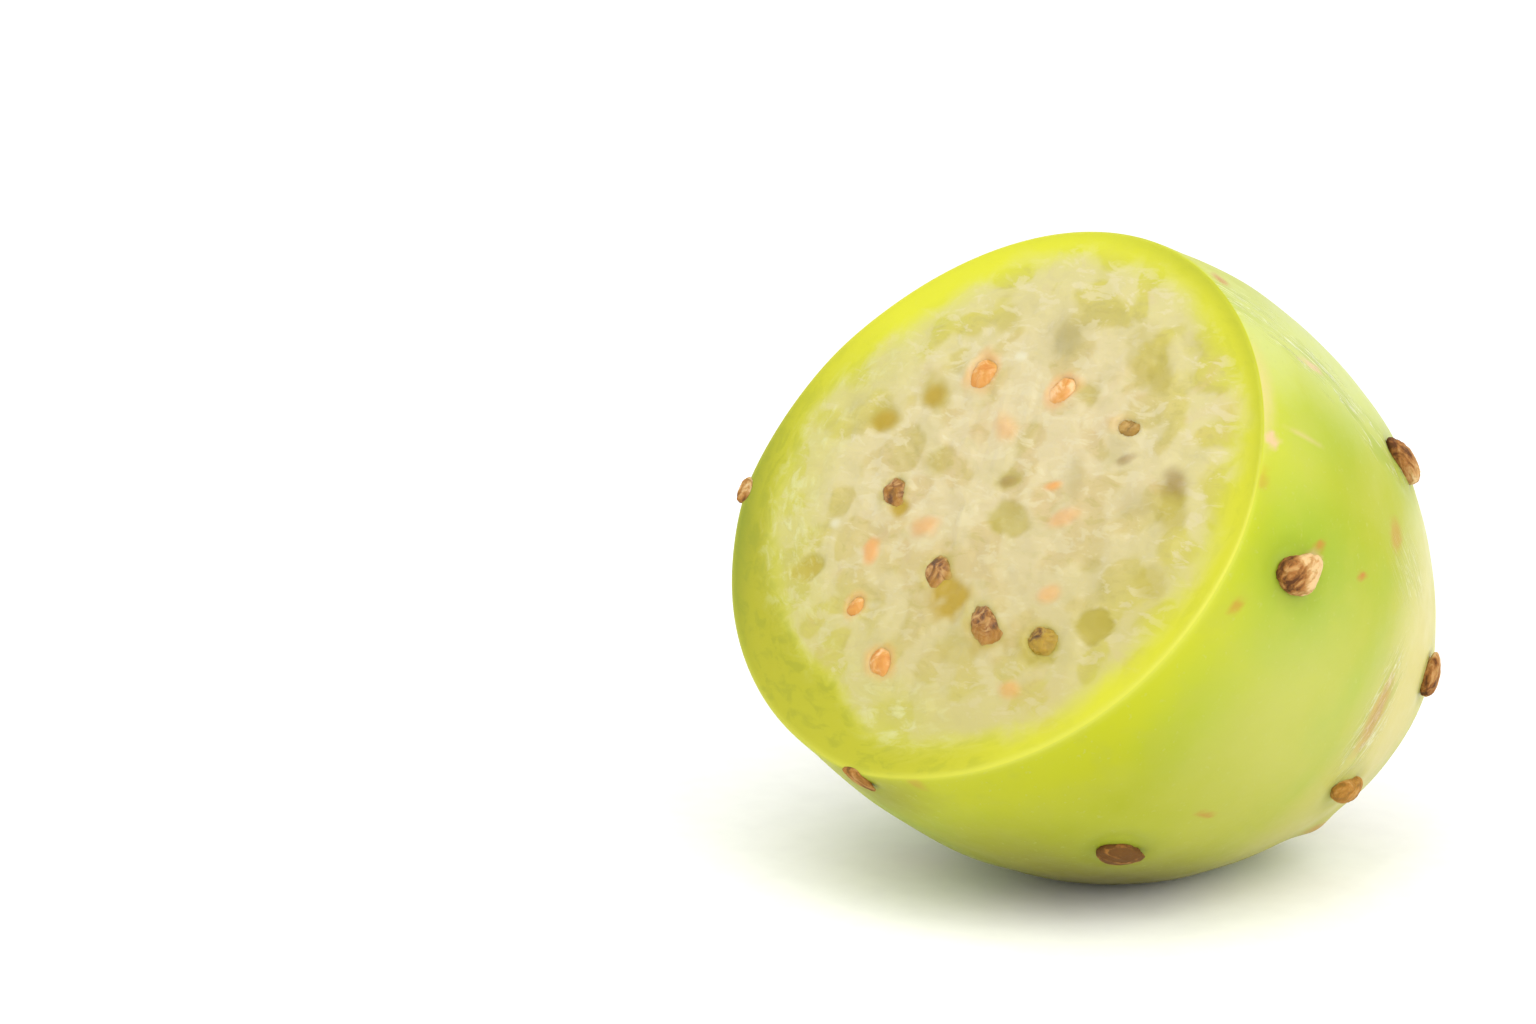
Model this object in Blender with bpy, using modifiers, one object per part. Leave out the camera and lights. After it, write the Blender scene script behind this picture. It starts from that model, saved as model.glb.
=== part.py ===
"""Half of a prickly pear fruit, the crown half, cut across on a slant and lying on its side.

The fruit grew as one piece, so the half is one solid: a turned body with a slightly lobed
section, a dished crown, woody areoles standing on low swellings in rows round it, and seeds
standing a little proud of the flat cut face.

The fruit's own frame has its origin in the middle of the cut, +Z along the fruit's axis to the
crown, and +X to the side where the slanted cut runs furthest towards the crown. The finished
half is in the part's frame: +Z up, the cut face towards -Y, and the origin in the middle of the
small flat spot that the half rests on.
"""

import math
import random

import bmesh
import bpy
from mathutils import Matrix, Vector

MM = 0.001
NAME = "prickly_pear_half"

# Turned body: an egg, fuller on the crown's side, whose middle is a little past the cut
EGG_RADIUS = 27.9 * MM
EGG_HALF_LENGTH = 52.3 * MM
EGG_MIDDLE = 2.5 * MM
EGG_POINTEDNESS = 1.77
EGG_FULLNESS = 0.42
BLANK_START = -14.0 * MM

# Section: how far it departs from a circle, as (lobes, share of the radius, degrees of the first)
LOBES = ((2, 0.008, 63.0), (3, 0.0075, 74.0), (4, 0.005, 27.0))

# Crown: the dish left by the withered flower
DISH_RADIUS = 13.5 * MM
DISH_DROP = 12.8 * MM

# Cut: a flat slice across the axis, leaning towards the crown at +X
CUT_SLANT = math.radians(18.25)

# Pose of the resting half
AXIS_TURN = math.radians(18.7)
AXIS_DOWN = math.radians(28.2)
AXIS_ROLL = math.radians(-36.0)
REST_POINT = Vector((6.4, 16.5, -35.93)) * MM

# Areoles in sight: (reach along the axis in mm, degrees round it, share of the full size)
SHOWN_AREOLES = (
    (15.2, 24, 1.0),
    (17.3, 85, 0.95),
    (30.3, -16, 1.0),
    (35.7, 59, 0.8),
    (-2.4, 112, 0.6),
    (-7.8, 199, 0.6),
    (42.4, 24, 0.75),
)
# Areoles out of sight, in rows: (reach in mm, how many, degrees of the first and to the next)
HIDDEN_ROWS = ((0.5, 2, 168, 64), (16.0, 4, 143, 48), (33.0, 4, 160, 45))
# Smaller areoles round the crown's dish, out of sight too
CROWN_ROW = (42.4, 6, 146, 33)
CROWN_SHARE = 0.75
STRAY_DEGREES = 3.0
STRAY_REACH = 0.8
STRAY_SHARE = 0.12
SEED_OF_STRAY = 7
AREOLE_LENGTH = 4.2 * MM
AREOLE_WIDTH = 3.4 * MM
AREOLE_HEIGHT = 1.4 * MM
SWELLING_HEIGHT = 0.45 * MM
SWELLING_RADIUS = 4.5 * MM

# Seeds on the cut face: (to the right, up the face, length, width in mm, degrees of the length)
SEEDS = (
    (-8.5, -0.4, 3.3, 2.5, 122),
    (0.3, -6.9, 3.4, 3.0, 112),
    (8.0, -10.4, 5.4, 2.5, 152),
    (14.7, -10.7, 3.5, 2.6, 166),
    (13.3, 10.3, 3.5, 1.6, 173),
    (21.4, 5.0, 4.4, 2.3, 137),
    (2.6, 17.5, 4.3, 3.4, 165),
    (3.5, 3.0, 1.9, 1.0, 12),
    (-5.1, 12.7, 3.4, 3.0, 101),
    (4.6, 12.6, 3.6, 3.0, 55),
    (0.4, 7.9, 3.4, 1.9, 144),
    (8.6, 3.5, 1.5, 1.0, 19),
    (11.1, 0.6, 2.9, 1.7, 30),
    (-3.3, -3.1, 2.7, 2.2, 16),
    (-8.0, -6.4, 2.7, 1.6, 126),
    (-6.8, -11.9, 2.5, 2.2, 106),
    (-1.1, -16.4, 3.7, 2.8, 147),
    (13.4, -6.6, 2.5, 1.5, 24),
    (14.0, -15.7, 2.1, 1.5, 177),
)
SEED_PROUD = 0.45 * MM
SEED_THICKNESS = 1.9 * MM

# Fineness of the faceted solids
SIDES_ROUND = 72
STEPS_ALONG = 38
BUMP_SEGMENTS = 8
BUMP_RINGS = 6
CUTTER_SIZE = 150.0 * MM


def clear_scene():
    """Removes whatever the file opened with."""
    for obj in list(bpy.data.objects):
        bpy.data.objects.remove(obj)


def dish_drop(radius):
    """How far the crown's dish lies below the end of the plain turned body, a smooth bell."""
    share = min(radius / DISH_RADIUS, 1.0)
    return DISH_DROP * (1.0 - share**2) ** 2


def profile_point(turn):
    """Reach along the axis and radius, at a turn of -90 degrees (stem) to 90 degrees (crown)."""
    radius = EGG_RADIUS * math.cos(turn) ** EGG_POINTEDNESS * (1.0 + EGG_FULLNESS * math.sin(turn))
    reach = EGG_MIDDLE + EGG_HALF_LENGTH * math.sin(turn)
    return reach - dish_drop(radius), radius


def turn_at_reach(reach):
    """The profile's turn where the plain egg has this reach along the axis."""
    return math.asin((reach - EGG_MIDDLE) / EGG_HALF_LENGTH)


def lobe_factor(angle):
    """The section's radius at an angle round the axis, as a share of the circle's."""
    return 1.0 + sum(
        share * math.cos(count * (angle - math.radians(first))) for count, share, first in LOBES
    )


def skin_point(turn, angle):
    """A point of the skin, without its swellings, in the fruit's frame."""
    reach, radius = profile_point(turn)
    radius *= lobe_factor(angle)
    return Vector((radius * math.cos(angle), radius * math.sin(angle), reach))


def skin_frame(turn, angle):
    """Axes on the skin: towards the crown, round the fruit, and outwards."""
    step = 1e-4
    along = skin_point(turn + step, angle) - skin_point(turn - step, angle)
    around = skin_point(turn, angle + step) - skin_point(turn, angle - step)
    along.normalize()
    outward = around.cross(along).normalized()
    return along, outward.cross(along).normalized(), outward


def pose():
    """The turn and move that take the fruit's frame to the resting half's."""
    axis = Vector((
        math.sin(AXIS_TURN) * math.cos(AXIS_DOWN),
        math.cos(AXIS_TURN) * math.cos(AXIS_DOWN),
        -math.sin(AXIS_DOWN),
    ))
    level = Vector((math.cos(AXIS_TURN), -math.sin(AXIS_TURN), 0.0))
    side = level * math.cos(AXIS_ROLL) + axis.cross(level) * math.sin(AXIS_ROLL)
    columns = Matrix((side, axis.cross(side), axis)).transposed()
    return Matrix.Translation(-REST_POINT) @ columns.to_4x4()


def areole_places():
    """Lists (turn, angle, share) of each areole: those in sight, the hidden rows, the crown's."""
    places = [
        (turn_at_reach(reach * MM), math.radians(degrees), share)
        for reach, degrees, share in SHOWN_AREOLES
    ]
    rng = random.Random(SEED_OF_STRAY)
    for row, share in [(row, 1.0) for row in HIDDEN_ROWS] + [(CROWN_ROW, CROWN_SHARE)]:
        reach, count, first, spacing = row
        for index in range(count):
            strayed_reach = reach + rng.uniform(-STRAY_REACH, STRAY_REACH)
            degrees = first + spacing * index + rng.uniform(-STRAY_DEGREES, STRAY_DEGREES)
            strayed_share = share * (1.0 + rng.uniform(-STRAY_SHARE, STRAY_SHARE))
            places.append((turn_at_reach(strayed_reach * MM), math.radians(degrees), strayed_share))
    return places


def swelling(point, places):
    """How far the skin swells out at a point, from the areoles near it."""
    height = 0.0
    for turn, angle, share in places:
        distance = (point - skin_point(turn, angle)).length / SWELLING_RADIUS
        height += SWELLING_HEIGHT * share * math.exp(-distance * distance)
    return height


def turned_body(collection, places):
    """The whole blank of the body: the profile turned about the axis, lobed and swollen."""
    start = turn_at_reach(BLANK_START)
    turns = [start + (0.5 * math.pi - start) * step / STEPS_ALONG for step in range(STEPS_ALONG)]
    points = [(radius, 0.0, reach) for reach, radius in map(profile_point, turns)]
    points.insert(0, (0.0, 0.0, points[0][2]))
    points.append((0.0, 0.0, profile_point(0.5 * math.pi)[0]))
    points.reverse()
    edges = [(index, index + 1) for index in range(len(points) - 1)]
    profile = bpy.data.meshes.new("profile")
    profile.from_pydata(points, edges, [])
    body = bpy.data.objects.new("blank", profile)
    collection.objects.link(body)
    screw = body.modifiers.new("turned", "SCREW")
    screw.steps = screw.render_steps = SIDES_ROUND
    screw.use_merge_vertices = True
    screw.merge_threshold = 0.00001
    body = baked(body, collection, NAME)
    mesh = bmesh.new()
    mesh.from_mesh(body.data)
    for vertex in mesh.verts:
        place = vertex.co
        radius = math.hypot(place.x, place.y)
        if radius < MM:
            continue
        outward = Vector((place.x, place.y, 0.0)) / radius
        grown = radius * (lobe_factor(math.atan2(place.y, place.x)) - 1.0)
        vertex.co = place + outward * (grown + swelling(place, places))
    bmesh.ops.recalc_face_normals(mesh, faces=mesh.faces)
    mesh.to_mesh(body.data)
    mesh.free()
    return body


def baked(obj, collection, name):
    """A new object with the old one's modifiers applied. The old one is removed."""
    bpy.context.view_layer.update()
    mesh = bpy.data.meshes.new_from_object(obj.evaluated_get(bpy.context.evaluated_depsgraph_get()))
    matrix = obj.matrix_world.copy()
    bpy.data.objects.remove(obj)
    result = bpy.data.objects.new(name, mesh)
    result.matrix_world = matrix
    collection.objects.link(result)
    return result


def bump(collection, name, place, half_sizes, axes):
    """A small faceted egg, as an areole or a seed is, with its half sizes along three axes."""
    mesh = bpy.data.meshes.new(name)
    shape = bmesh.new()
    bmesh.ops.create_uvsphere(
        shape, u_segments=BUMP_SEGMENTS, v_segments=BUMP_RINGS, radius=1.0
    )
    columns = [axis * half for axis, half in zip(axes, half_sizes)]
    matrix = Matrix.Translation(place) @ Matrix(columns).transposed().to_4x4()
    bmesh.ops.transform(shape, matrix=matrix, verts=shape.verts)
    bmesh.ops.recalc_face_normals(shape, faces=shape.faces)
    shape.to_mesh(mesh)
    shape.free()
    obj = bpy.data.objects.new(name, mesh)
    collection.objects.link(obj)
    return obj


def grow_areoles(collection, places):
    """Woody buds with their roots well in the skin, longest towards the crown."""
    for index, (turn, angle, share) in enumerate(places):
        along, around, outward = skin_frame(turn, angle)
        point = skin_point(turn, angle)
        lift = SWELLING_HEIGHT * share
        half_sizes = (AREOLE_LENGTH * share / 2, AREOLE_WIDTH * share / 2, AREOLE_HEIGHT * share)
        bump(
            collection,
            f"areole_{index}",
            point + outward * lift,
            half_sizes,
            (along, around, outward),
        )


def cut_axes():
    """Axes on the cut face, in the fruit's frame: to the right, up the face, and out of it."""
    outward = Vector((math.sin(CUT_SLANT), 0.0, -math.cos(CUT_SLANT)))
    turn_back = pose().to_3x3().inverted()
    right = (turn_back @ Vector((1.0, 0.0, 0.0))).normalized()
    right = (right - outward * right.dot(outward)).normalized()
    return right, outward.cross(right), outward


def set_seeds(collection):
    """Seeds sunk in the pulp, standing a little proud of the cut face."""
    right, upward, outward = cut_axes()
    for index, (across, up, length, width, degrees) in enumerate(SEEDS):
        turn = math.radians(degrees)
        long_axis = right * math.cos(turn) + upward * math.sin(turn)
        wide_axis = outward.cross(long_axis)
        depth = SEED_PROUD - SEED_THICKNESS / 2
        place = (right * across + upward * up) * MM + outward * depth
        half_sizes = (length * MM / 2, width * MM / 2, SEED_THICKNESS / 2)
        bump(collection, f"seed_{index}", place, half_sizes, (long_axis, wide_axis, outward))


def box_cutter(collection, name, matrix):
    """A large box whose top face is the plane that it cuts along."""
    bpy.ops.mesh.primitive_cube_add(size=CUTTER_SIZE)
    cutter = bpy.context.object
    cutter.name = name
    for owner in list(cutter.users_collection):
        owner.objects.unlink(cutter)
    collection.objects.link(cutter)
    cutter.matrix_world = matrix @ Matrix.Translation((0.0, 0.0, -CUTTER_SIZE / 2))
    cutter.hide_render = True
    cutter.display_type = "WIRE"
    return cutter


def cut_by(obj, cutter):
    """Cuts obj along a cutter's top face."""
    cut = obj.modifiers.new(cutter.name, "BOOLEAN")
    cut.operation = "DIFFERENCE"
    cut.solver = "EXACT"
    cut.object = cutter


def joined(obj, extras, collection):
    """obj with everything in the extras collection grown into it as one solid."""
    union = obj.modifiers.new("grown_together", "BOOLEAN")
    union.operation = "UNION"
    union.solver = "EXACT"
    union.operand_type = "COLLECTION"
    union.collection = extras
    result = baked(obj, collection, NAME)
    for extra in list(extras.objects):
        bpy.data.objects.remove(extra)
    bpy.data.collections.remove(extras)
    return result


def skin_material():
    """Yellow-green waxy skin, the colour of most of the half."""
    material = bpy.data.materials.new("prickly_pear_skin")
    material.use_nodes = True
    shader = material.node_tree.nodes["Principled BSDF"]
    shader.inputs["Base Color"].default_value = (0.52, 0.66, 0.08, 1.0)
    shader.inputs["Roughness"].default_value = 0.42
    shader.inputs["Metallic"].default_value = 0.0
    return material


def new_collection(name):
    """A collection linked to the scene."""
    collection = bpy.data.collections.new(name)
    bpy.context.scene.collection.children.link(collection)
    return collection


def main():
    """Builds the half: the grown blank, the slanted cut, the seeds, and the resting spot."""
    clear_scene()
    parts = new_collection(NAME)
    cutters = new_collection("cutters")
    places = areole_places()
    body = turned_body(parts, places)
    areoles = new_collection("areoles")
    grow_areoles(areoles, places)
    body = joined(body, areoles, parts)
    cut_by(body, box_cutter(cutters, "knife", Matrix.Rotation(-CUT_SLANT, 4, "Y")))
    body = baked(body, parts, NAME)
    seeds = new_collection("seeds")
    set_seeds(seeds)
    body = joined(body, seeds, parts)
    body.matrix_world = pose()
    cut_by(body, box_cutter(cutters, "table", Matrix.Identity(4)))
    body.data.materials.clear()
    body.data.materials.append(skin_material())
    body.data.shade_smooth()
    body.data.set_sharp_from_angle(angle=math.radians(40.0))


main()
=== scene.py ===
"""The look of half a prickly pear fruit: waxy skin, peel, wet pulp, woody areoles and seeds.

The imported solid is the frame. The driving sizes here are the solid's own, so each surface that is
worked out here lies on the solid's, only finer. The fruit's own frame has its origin in the middle
of the cut, +Z along the axis to the crown, and +X to the side where the slanted cut runs furthest
towards the crown. Meshes are in metres, and sizes are given in millimetres times MM.
"""

import logging
import math
import random
from abc import ABC, abstractmethod
from dataclasses import dataclass, field
from enum import Enum
from typing import Any, ClassVar

import bpy
import numpy as np
from mathutils import Matrix
from numpy.typing import NDArray

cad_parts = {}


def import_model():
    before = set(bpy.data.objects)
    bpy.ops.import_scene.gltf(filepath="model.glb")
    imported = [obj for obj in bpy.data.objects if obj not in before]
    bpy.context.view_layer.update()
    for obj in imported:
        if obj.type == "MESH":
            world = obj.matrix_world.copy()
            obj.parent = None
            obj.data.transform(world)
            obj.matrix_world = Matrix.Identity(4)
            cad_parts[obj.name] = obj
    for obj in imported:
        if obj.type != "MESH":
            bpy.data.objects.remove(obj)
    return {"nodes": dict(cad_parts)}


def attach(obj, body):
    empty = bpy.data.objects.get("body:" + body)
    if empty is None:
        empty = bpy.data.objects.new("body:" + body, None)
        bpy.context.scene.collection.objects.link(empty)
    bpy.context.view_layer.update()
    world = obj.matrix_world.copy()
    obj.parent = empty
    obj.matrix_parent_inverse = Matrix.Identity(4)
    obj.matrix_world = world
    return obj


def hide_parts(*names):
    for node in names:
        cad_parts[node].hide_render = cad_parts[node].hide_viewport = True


frame: dict[str, Any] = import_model()

Array = NDArray[np.float64]
Colour = tuple[float, float, float, float]
Socket = bpy.types.NodeSocket
Tree = bpy.types.NodeTree

MM = 0.001
# The unit of Object coordinates, in mm. The pieces' own attributes are in mm as they are.
METRE_IN_MM = 1000.0
# Stands in for a length of zero where something is divided by it
TINY = 1e-12
NODE = "prickly_pear_half"
log = logging.getLogger("prickly_pear")


def linear(code: str) -> Colour:
    """Turns an sRGB hex code into the linear colour that a shader takes.

    A share s of the full value gives s / 12.92 up to 0.04045, and ((s + 0.055) / 1.055)^2.4 over.

    Args:
        code: Six hex digits after a hash sign.

    Returns:
        Red, green and blue in linear light, and an alpha of 1.
    """
    shares = [int(code[start : start + 2], 16) / 255 for start in (1, 3, 5)]
    red, green, blue = (
        share / 12.92 if share <= 0.04045 else ((share + 0.055) / 1.055) ** 2.4
        for share in shares
    )
    return red, green, blue, 1.0


def smooth(low: float, high: float, value: Array) -> Array:
    """A rise from 0 at low to 1 at high, level at both ends: 3t^2 - 2t^3 of the way t between."""
    share = np.clip((value - low) / (high - low), 0.0, 1.0)
    return share * share * (3.0 - 2.0 * share)


def inside(reach: Array, softness: float) -> Array:
    """How far places are inside an edge at reach 1, which fades over a softness on each side."""
    return 1.0 - smooth(1.0 - softness, 1.0 + softness, reach)


def globe(rings: int, around: int) -> tuple[Array, Array]:
    """Angles of a grid on a globe, without its poles.

    Args:
        rings: How many rings it has.
        around: How many places there are round a ring.

    Returns:
        The angle down from the first pole, a row to a ring, and the angle round, in columns.
    """
    down = np.linspace(0.0, math.pi, rings + 2)[1:-1, None]
    angle = np.linspace(0.0, 2.0 * math.pi, around, endpoint=False)[None]
    return down, angle


def unit(vectors: Array) -> Array:
    """Vectors of length one with the same headings."""
    return vectors / np.maximum(np.linalg.norm(vectors, axis=-1, keepdims=True), TINY)


def heading_axes(azimuth: float, elevation: float) -> tuple[Array, Array, Array]:
    """Axes of something that looks at the fruit from a heading: its right, its up and its back.

    Args:
        azimuth: Where it stands, in degrees anticlockwise from -Y as seen from above.
        elevation: How high it stands, in degrees.

    Returns:
        Three vectors of length one.
    """
    turn, lift = math.radians(azimuth), math.radians(elevation)
    back = np.array([
        math.sin(turn) * math.cos(lift), -math.cos(turn) * math.cos(lift), math.sin(lift)
    ])
    right = np.array([math.cos(turn), math.sin(turn), 0.0])
    return right, np.cross(back, right), back


@dataclass(frozen=True)
class Ripples:
    """Smooth seeded noise: many plane waves of about one wavelength, added up.

    The value at a point x is sqrt(2/n) times the sum of cos(k.x + phase), whose spread is 1, with
    each next octave at half the wavelength and half the height.
    """

    wavelength: float
    seed: int
    octaves: int = 1
    waves: int = 22
    # The waves' own lengths, as shares of the wavelength
    shortest: float = 0.7
    longest: float = 1.4

    def __call__(self, points: Array) -> Array:
        """Works the noise out.

        Args:
            points: Places, with their coordinates in the last axis, in the wavelength's units.

        Returns:
            The noise at each place, mostly between -2 and 2.
        """
        rng = np.random.default_rng(self.seed)
        total = np.zeros(points.shape[:-1])
        for octave in range(self.octaves):
            headings = unit(rng.normal(size=(self.waves, points.shape[-1])))
            shares = rng.uniform(self.shortest, self.longest, self.waves)
            lengths = self.wavelength / 2**octave * shares
            phases = rng.uniform(0.0, 2.0 * math.pi, self.waves)
            turns = points @ (headings * (2.0 * math.pi / lengths)[:, None]).T + phases
            total += np.cos(turns).sum(axis=-1) * math.sqrt(2.0 / self.waves) / 2**octave
        return total


@dataclass
class Surface:
    """A closed mesh as arrays: points, four-sided and three-sided faces, and values on points."""

    points: Array
    quads: NDArray[np.int64]
    triangles: NDArray[np.int64]
    values: dict[str, Array] = field(default_factory=dict)

    @classmethod
    def from_rings(cls, rings: Array, first: Array, last: Array) -> "Surface":
        """Closes a stack of rings with a pole at each end.

        The rings run from one pole to the other and turn anticlockwise seen from outside the
        first, so that faces look outwards.

        Args:
            rings: Points in an array of rings by places round a ring by three.
            first: The pole before the first ring.
            last: The pole after the last ring.

        Returns:
            The closed surface, with its poles as the last two points.
        """
        count, around = rings.shape[:2]
        index = np.arange(count * around).reshape(count, around)
        onward = np.roll(index, -1, axis=1)
        quads = np.stack([index[:-1], index[1:], onward[1:], onward[:-1]], axis=-1)
        top, end = count * around, count * around + 1
        caps = [
            np.stack([np.full(around, top), index[0], onward[0]], axis=-1),
            np.stack([np.full(around, end), onward[-1], index[-1]], axis=-1),
        ]
        points = np.concatenate([rings.reshape(-1, 3), first[None], last[None]])
        return cls(points, quads.reshape(-1, 4), np.concatenate(caps))

    @classmethod
    def joined(cls, parts: "list[Surface]") -> "Surface":
        """Puts several surfaces into one, with each one's values kept.

        Args:
            parts: Surfaces that all hold values of the same names.

        Returns:
            One surface of them all.
        """
        starts = np.cumsum([0] + [len(part.points) for part in parts[:-1]])
        return cls(
            np.concatenate([part.points for part in parts]),
            np.concatenate([part.quads + start for part, start in zip(parts, starts)]),
            np.concatenate([part.triangles + start for part, start in zip(parts, starts)]),
            {name: np.concatenate([p.values[name] for p in parts]) for name in parts[0].values},
        )

    def to_object(self, name: str, materials: list[bpy.types.Material]) -> bpy.types.Object:
        """Makes a smooth-shaded Blender object, with each value as an attribute on points.

        Args:
            name: The object's name.
            materials: Its materials, in slot order.

        Returns:
            The object, linked to the scene.
        """
        mesh = bpy.data.meshes.new(name)
        mesh.from_pydata(self.points.tolist(), [], self.quads.tolist() + self.triangles.tolist())
        for key, value in self.values.items():
            kind, member = ("FLOAT_VECTOR", "vector") if value.ndim == 2 else ("FLOAT", "value")
            attribute = mesh.attributes.new(key, kind, "POINT")
            attribute.data.foreach_set(member, value.astype(np.float32).ravel())
        for material in materials:
            mesh.materials.append(material)
        mesh.shade_smooth()
        mesh.update()
        made = bpy.data.objects.new(name, mesh)
        bpy.context.scene.collection.objects.link(made)
        return made


@dataclass(frozen=True)
class Place:
    """A place on the skin: the profile's turn, the angle round the axis, and a size."""

    turn: float
    angle: float
    share: float = 1.0


@dataclass(frozen=True)
class FruitForm:
    """The fruit's form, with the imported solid's own driving sizes.

    It is an egg turned about the axis, with a slightly lobed section, a dished crown, a low
    swelling under each areole and a flat slanted cut.
    """

    egg_radius: float = 27.9 * MM
    egg_half_length: float = 52.3 * MM
    egg_middle: float = 2.5 * MM
    egg_pointedness: float = 1.77
    egg_fullness: float = 0.42
    # (lobes, share of the radius, degrees of the first)
    lobes: tuple[tuple[int, float, float], ...] = (
        (2, 0.008, 63.0),
        (3, 0.0075, 74.0),
        (4, 0.005, 27.0),
    )
    dish_radius: float = 13.5 * MM
    dish_drop: float = 12.8 * MM
    cut_slant: float = math.radians(18.25)
    axis_turn: float = math.radians(18.7)
    axis_down: float = math.radians(28.2)
    axis_roll: float = math.radians(-36.0)
    rest_point: tuple[float, float, float] = (6.4 * MM, 16.5 * MM, -35.93 * MM)
    swelling_height: float = 0.45 * MM
    swelling_radius: float = 4.5 * MM
    # (reach along the axis in mm, degrees round it, share of the full size)
    shown_areoles: tuple[tuple[float, float, float], ...] = (
        (15.2, 24, 1.0),
        (17.3, 85, 0.95),
        (30.3, -16, 1.0),
        (35.7, 59, 0.8),
        (-2.4, 112, 0.6),
        (-7.8, 199, 0.6),
        (42.4, 24, 0.75),
    )
    # (reach in mm, how many, degrees of the first and to the next)
    hidden_rows: tuple[tuple[float, int, float, float], ...] = (
        (0.5, 2, 168, 64),
        (16.0, 4, 143, 48),
        (33.0, 4, 160, 45),
    )
    crown_row: tuple[float, int, float, float] = (42.4, 6, 146, 33)
    crown_share: float = 0.75
    # How far the rows' areoles stray: in degrees, in mm along the axis and as a share of the size
    stray_degrees: float = 3.0
    stray_reach: float = 0.8
    stray_share: float = 0.12
    stray_seed: int = 7
    # The turns between which the skin meets the cut, in radians, and how often they are halved
    rim_turns: tuple[float, float] = (-0.5, 0.7)
    rim_halvings: int = 40

    def place(self, reach: float, degrees: float, share: float = 1.0) -> Place:
        """The place at a reach in mm along the axis and an angle in degrees round it."""
        sine = (reach * MM - self.egg_middle) / self.egg_half_length
        return Place(math.asin(sine), math.radians(degrees), share)

    def areoles(self) -> list[Place]:
        """Lists the areoles: those in sight, then the hidden rows, then the crown's.

        Returns:
            Their places, with the solid's own seeded straying.
        """
        places = [self.place(*shown) for shown in self.shown_areoles]
        rng = random.Random(self.stray_seed)
        rows = [(row, 1.0) for row in self.hidden_rows] + [(self.crown_row, self.crown_share)]
        for (reach, count, first, spacing), share in rows:
            for index in range(count):
                strayed = reach + rng.uniform(-self.stray_reach, self.stray_reach)
                degrees = first + spacing * index
                degrees += rng.uniform(-self.stray_degrees, self.stray_degrees)
                size = share * (1.0 + rng.uniform(-self.stray_share, self.stray_share))
                places.append(self.place(strayed, degrees, size))
        return places

    def plain(self, turn: Array, angle: Array) -> Array:
        """The skin without its swellings.

        With turn t, the reach is the middle plus the half length times sin t, and the radius is
        R cos(t)^n (1 + fullness sin t). The dish takes drop (1 - (radius / dish)^2)^2 off the
        reach, and the lobes scale the radius by 1 + the sum of share cos(count (angle - first)).

        Args:
            turn: From -90 degrees at the stem to 90 degrees at the crown, in radians.
            angle: Round the axis, in radians.

        Returns:
            Points in the fruit's frame.
        """
        sine, cosine = np.sin(turn), np.maximum(np.cos(turn), 0.0)
        radius = self.egg_radius * cosine**self.egg_pointedness * (1 + self.egg_fullness * sine)
        bell = 1.0 - np.minimum(radius / self.dish_radius, 1.0) ** 2
        reach = self.egg_middle + self.egg_half_length * sine - self.dish_drop * bell**2
        lobed = 1.0 + sum(
            share * np.cos(count * (angle - math.radians(first)))
            for count, share, first in self.lobes
        )
        radius = radius * lobed
        return np.stack(
            [radius * np.cos(angle), radius * np.sin(angle), reach + 0.0 * angle], axis=-1
        )

    def centre(self, place: Place) -> Array:
        """The skin's point at a place."""
        return self.plain(np.array(place.turn), np.array(place.angle))

    def away(self, points: Array, place: Place) -> Array:
        """How far points are from a place on the skin, in mm."""
        return np.linalg.norm(points - self.centre(place), axis=-1) / MM

    def skin(self, turn: Array, angle: Array) -> Array:
        """The skin with its swellings, which stand out from the axis as exp(-distance^2).

        Args:
            turn: The profile's turn, in radians.
            angle: Round the axis, in radians.

        Returns:
            Points in the fruit's frame.
        """
        points = self.plain(turn, angle)
        height = np.zeros(points.shape[:-1])
        for place in self.areoles():
            away = self.away(points, place) * MM / self.swelling_radius
            height += self.swelling_height * place.share * np.exp(-away * away)
        outward = np.stack([np.cos(angle), np.sin(angle), 0.0 * angle], axis=-1)
        return points + outward * height[..., None]

    def axes_at(self, place: Place) -> Array:
        """Axes on the skin at a place, from the slopes of the skin without its swellings.

        Args:
            place: The place.

        Returns:
            Vectors of length one as rows: towards the crown, round the fruit, and outwards.
        """
        turn, angle, step = np.array(place.turn), np.array(place.angle), 1e-4
        along = unit(self.plain(turn + step, angle) - self.plain(turn - step, angle))
        around = self.plain(turn, angle + step) - self.plain(turn, angle - step)
        outward = unit(np.cross(around, along))
        return np.stack([along, np.cross(outward, along), outward])

    def cut_height(self, points: Array) -> Array:
        """How far points are on the crown's side of the cut's plane."""
        return points[..., 2] * math.cos(self.cut_slant) - points[..., 0] * math.sin(self.cut_slant)

    def rim_turn(self, angle: Array) -> Array:
        """The turn at which the skin meets the cut, by halving the span that holds it.

        Args:
            angle: Round the axis, in radians.

        Returns:
            The turn at each angle.
        """
        low, high = (np.full_like(angle, turn) for turn in self.rim_turns)
        for _ in range(self.rim_halvings):
            middle = 0.5 * (low + high)
            above = self.cut_height(self.skin(middle, angle)) > 0.0
            low, high = np.where(above, low, middle), np.where(above, middle, high)
        return 0.5 * (low + high)

    def turned(self) -> Array:
        """The fruit's axes in the part's frame: turned about the vertical, tipped and rolled.

        Returns:
            The three axes as columns.
        """
        level_x, level_y = math.cos(self.axis_turn), math.sin(self.axis_turn)
        flat, down = math.cos(self.axis_down), math.sin(self.axis_down)
        axis = np.array([level_y * flat, level_x * flat, -down])
        level = np.array([level_x, -level_y, 0.0])
        side = level * math.cos(self.axis_roll) + np.cross(axis, level) * math.sin(self.axis_roll)
        return np.stack([side, np.cross(axis, side), axis], axis=1)

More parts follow.
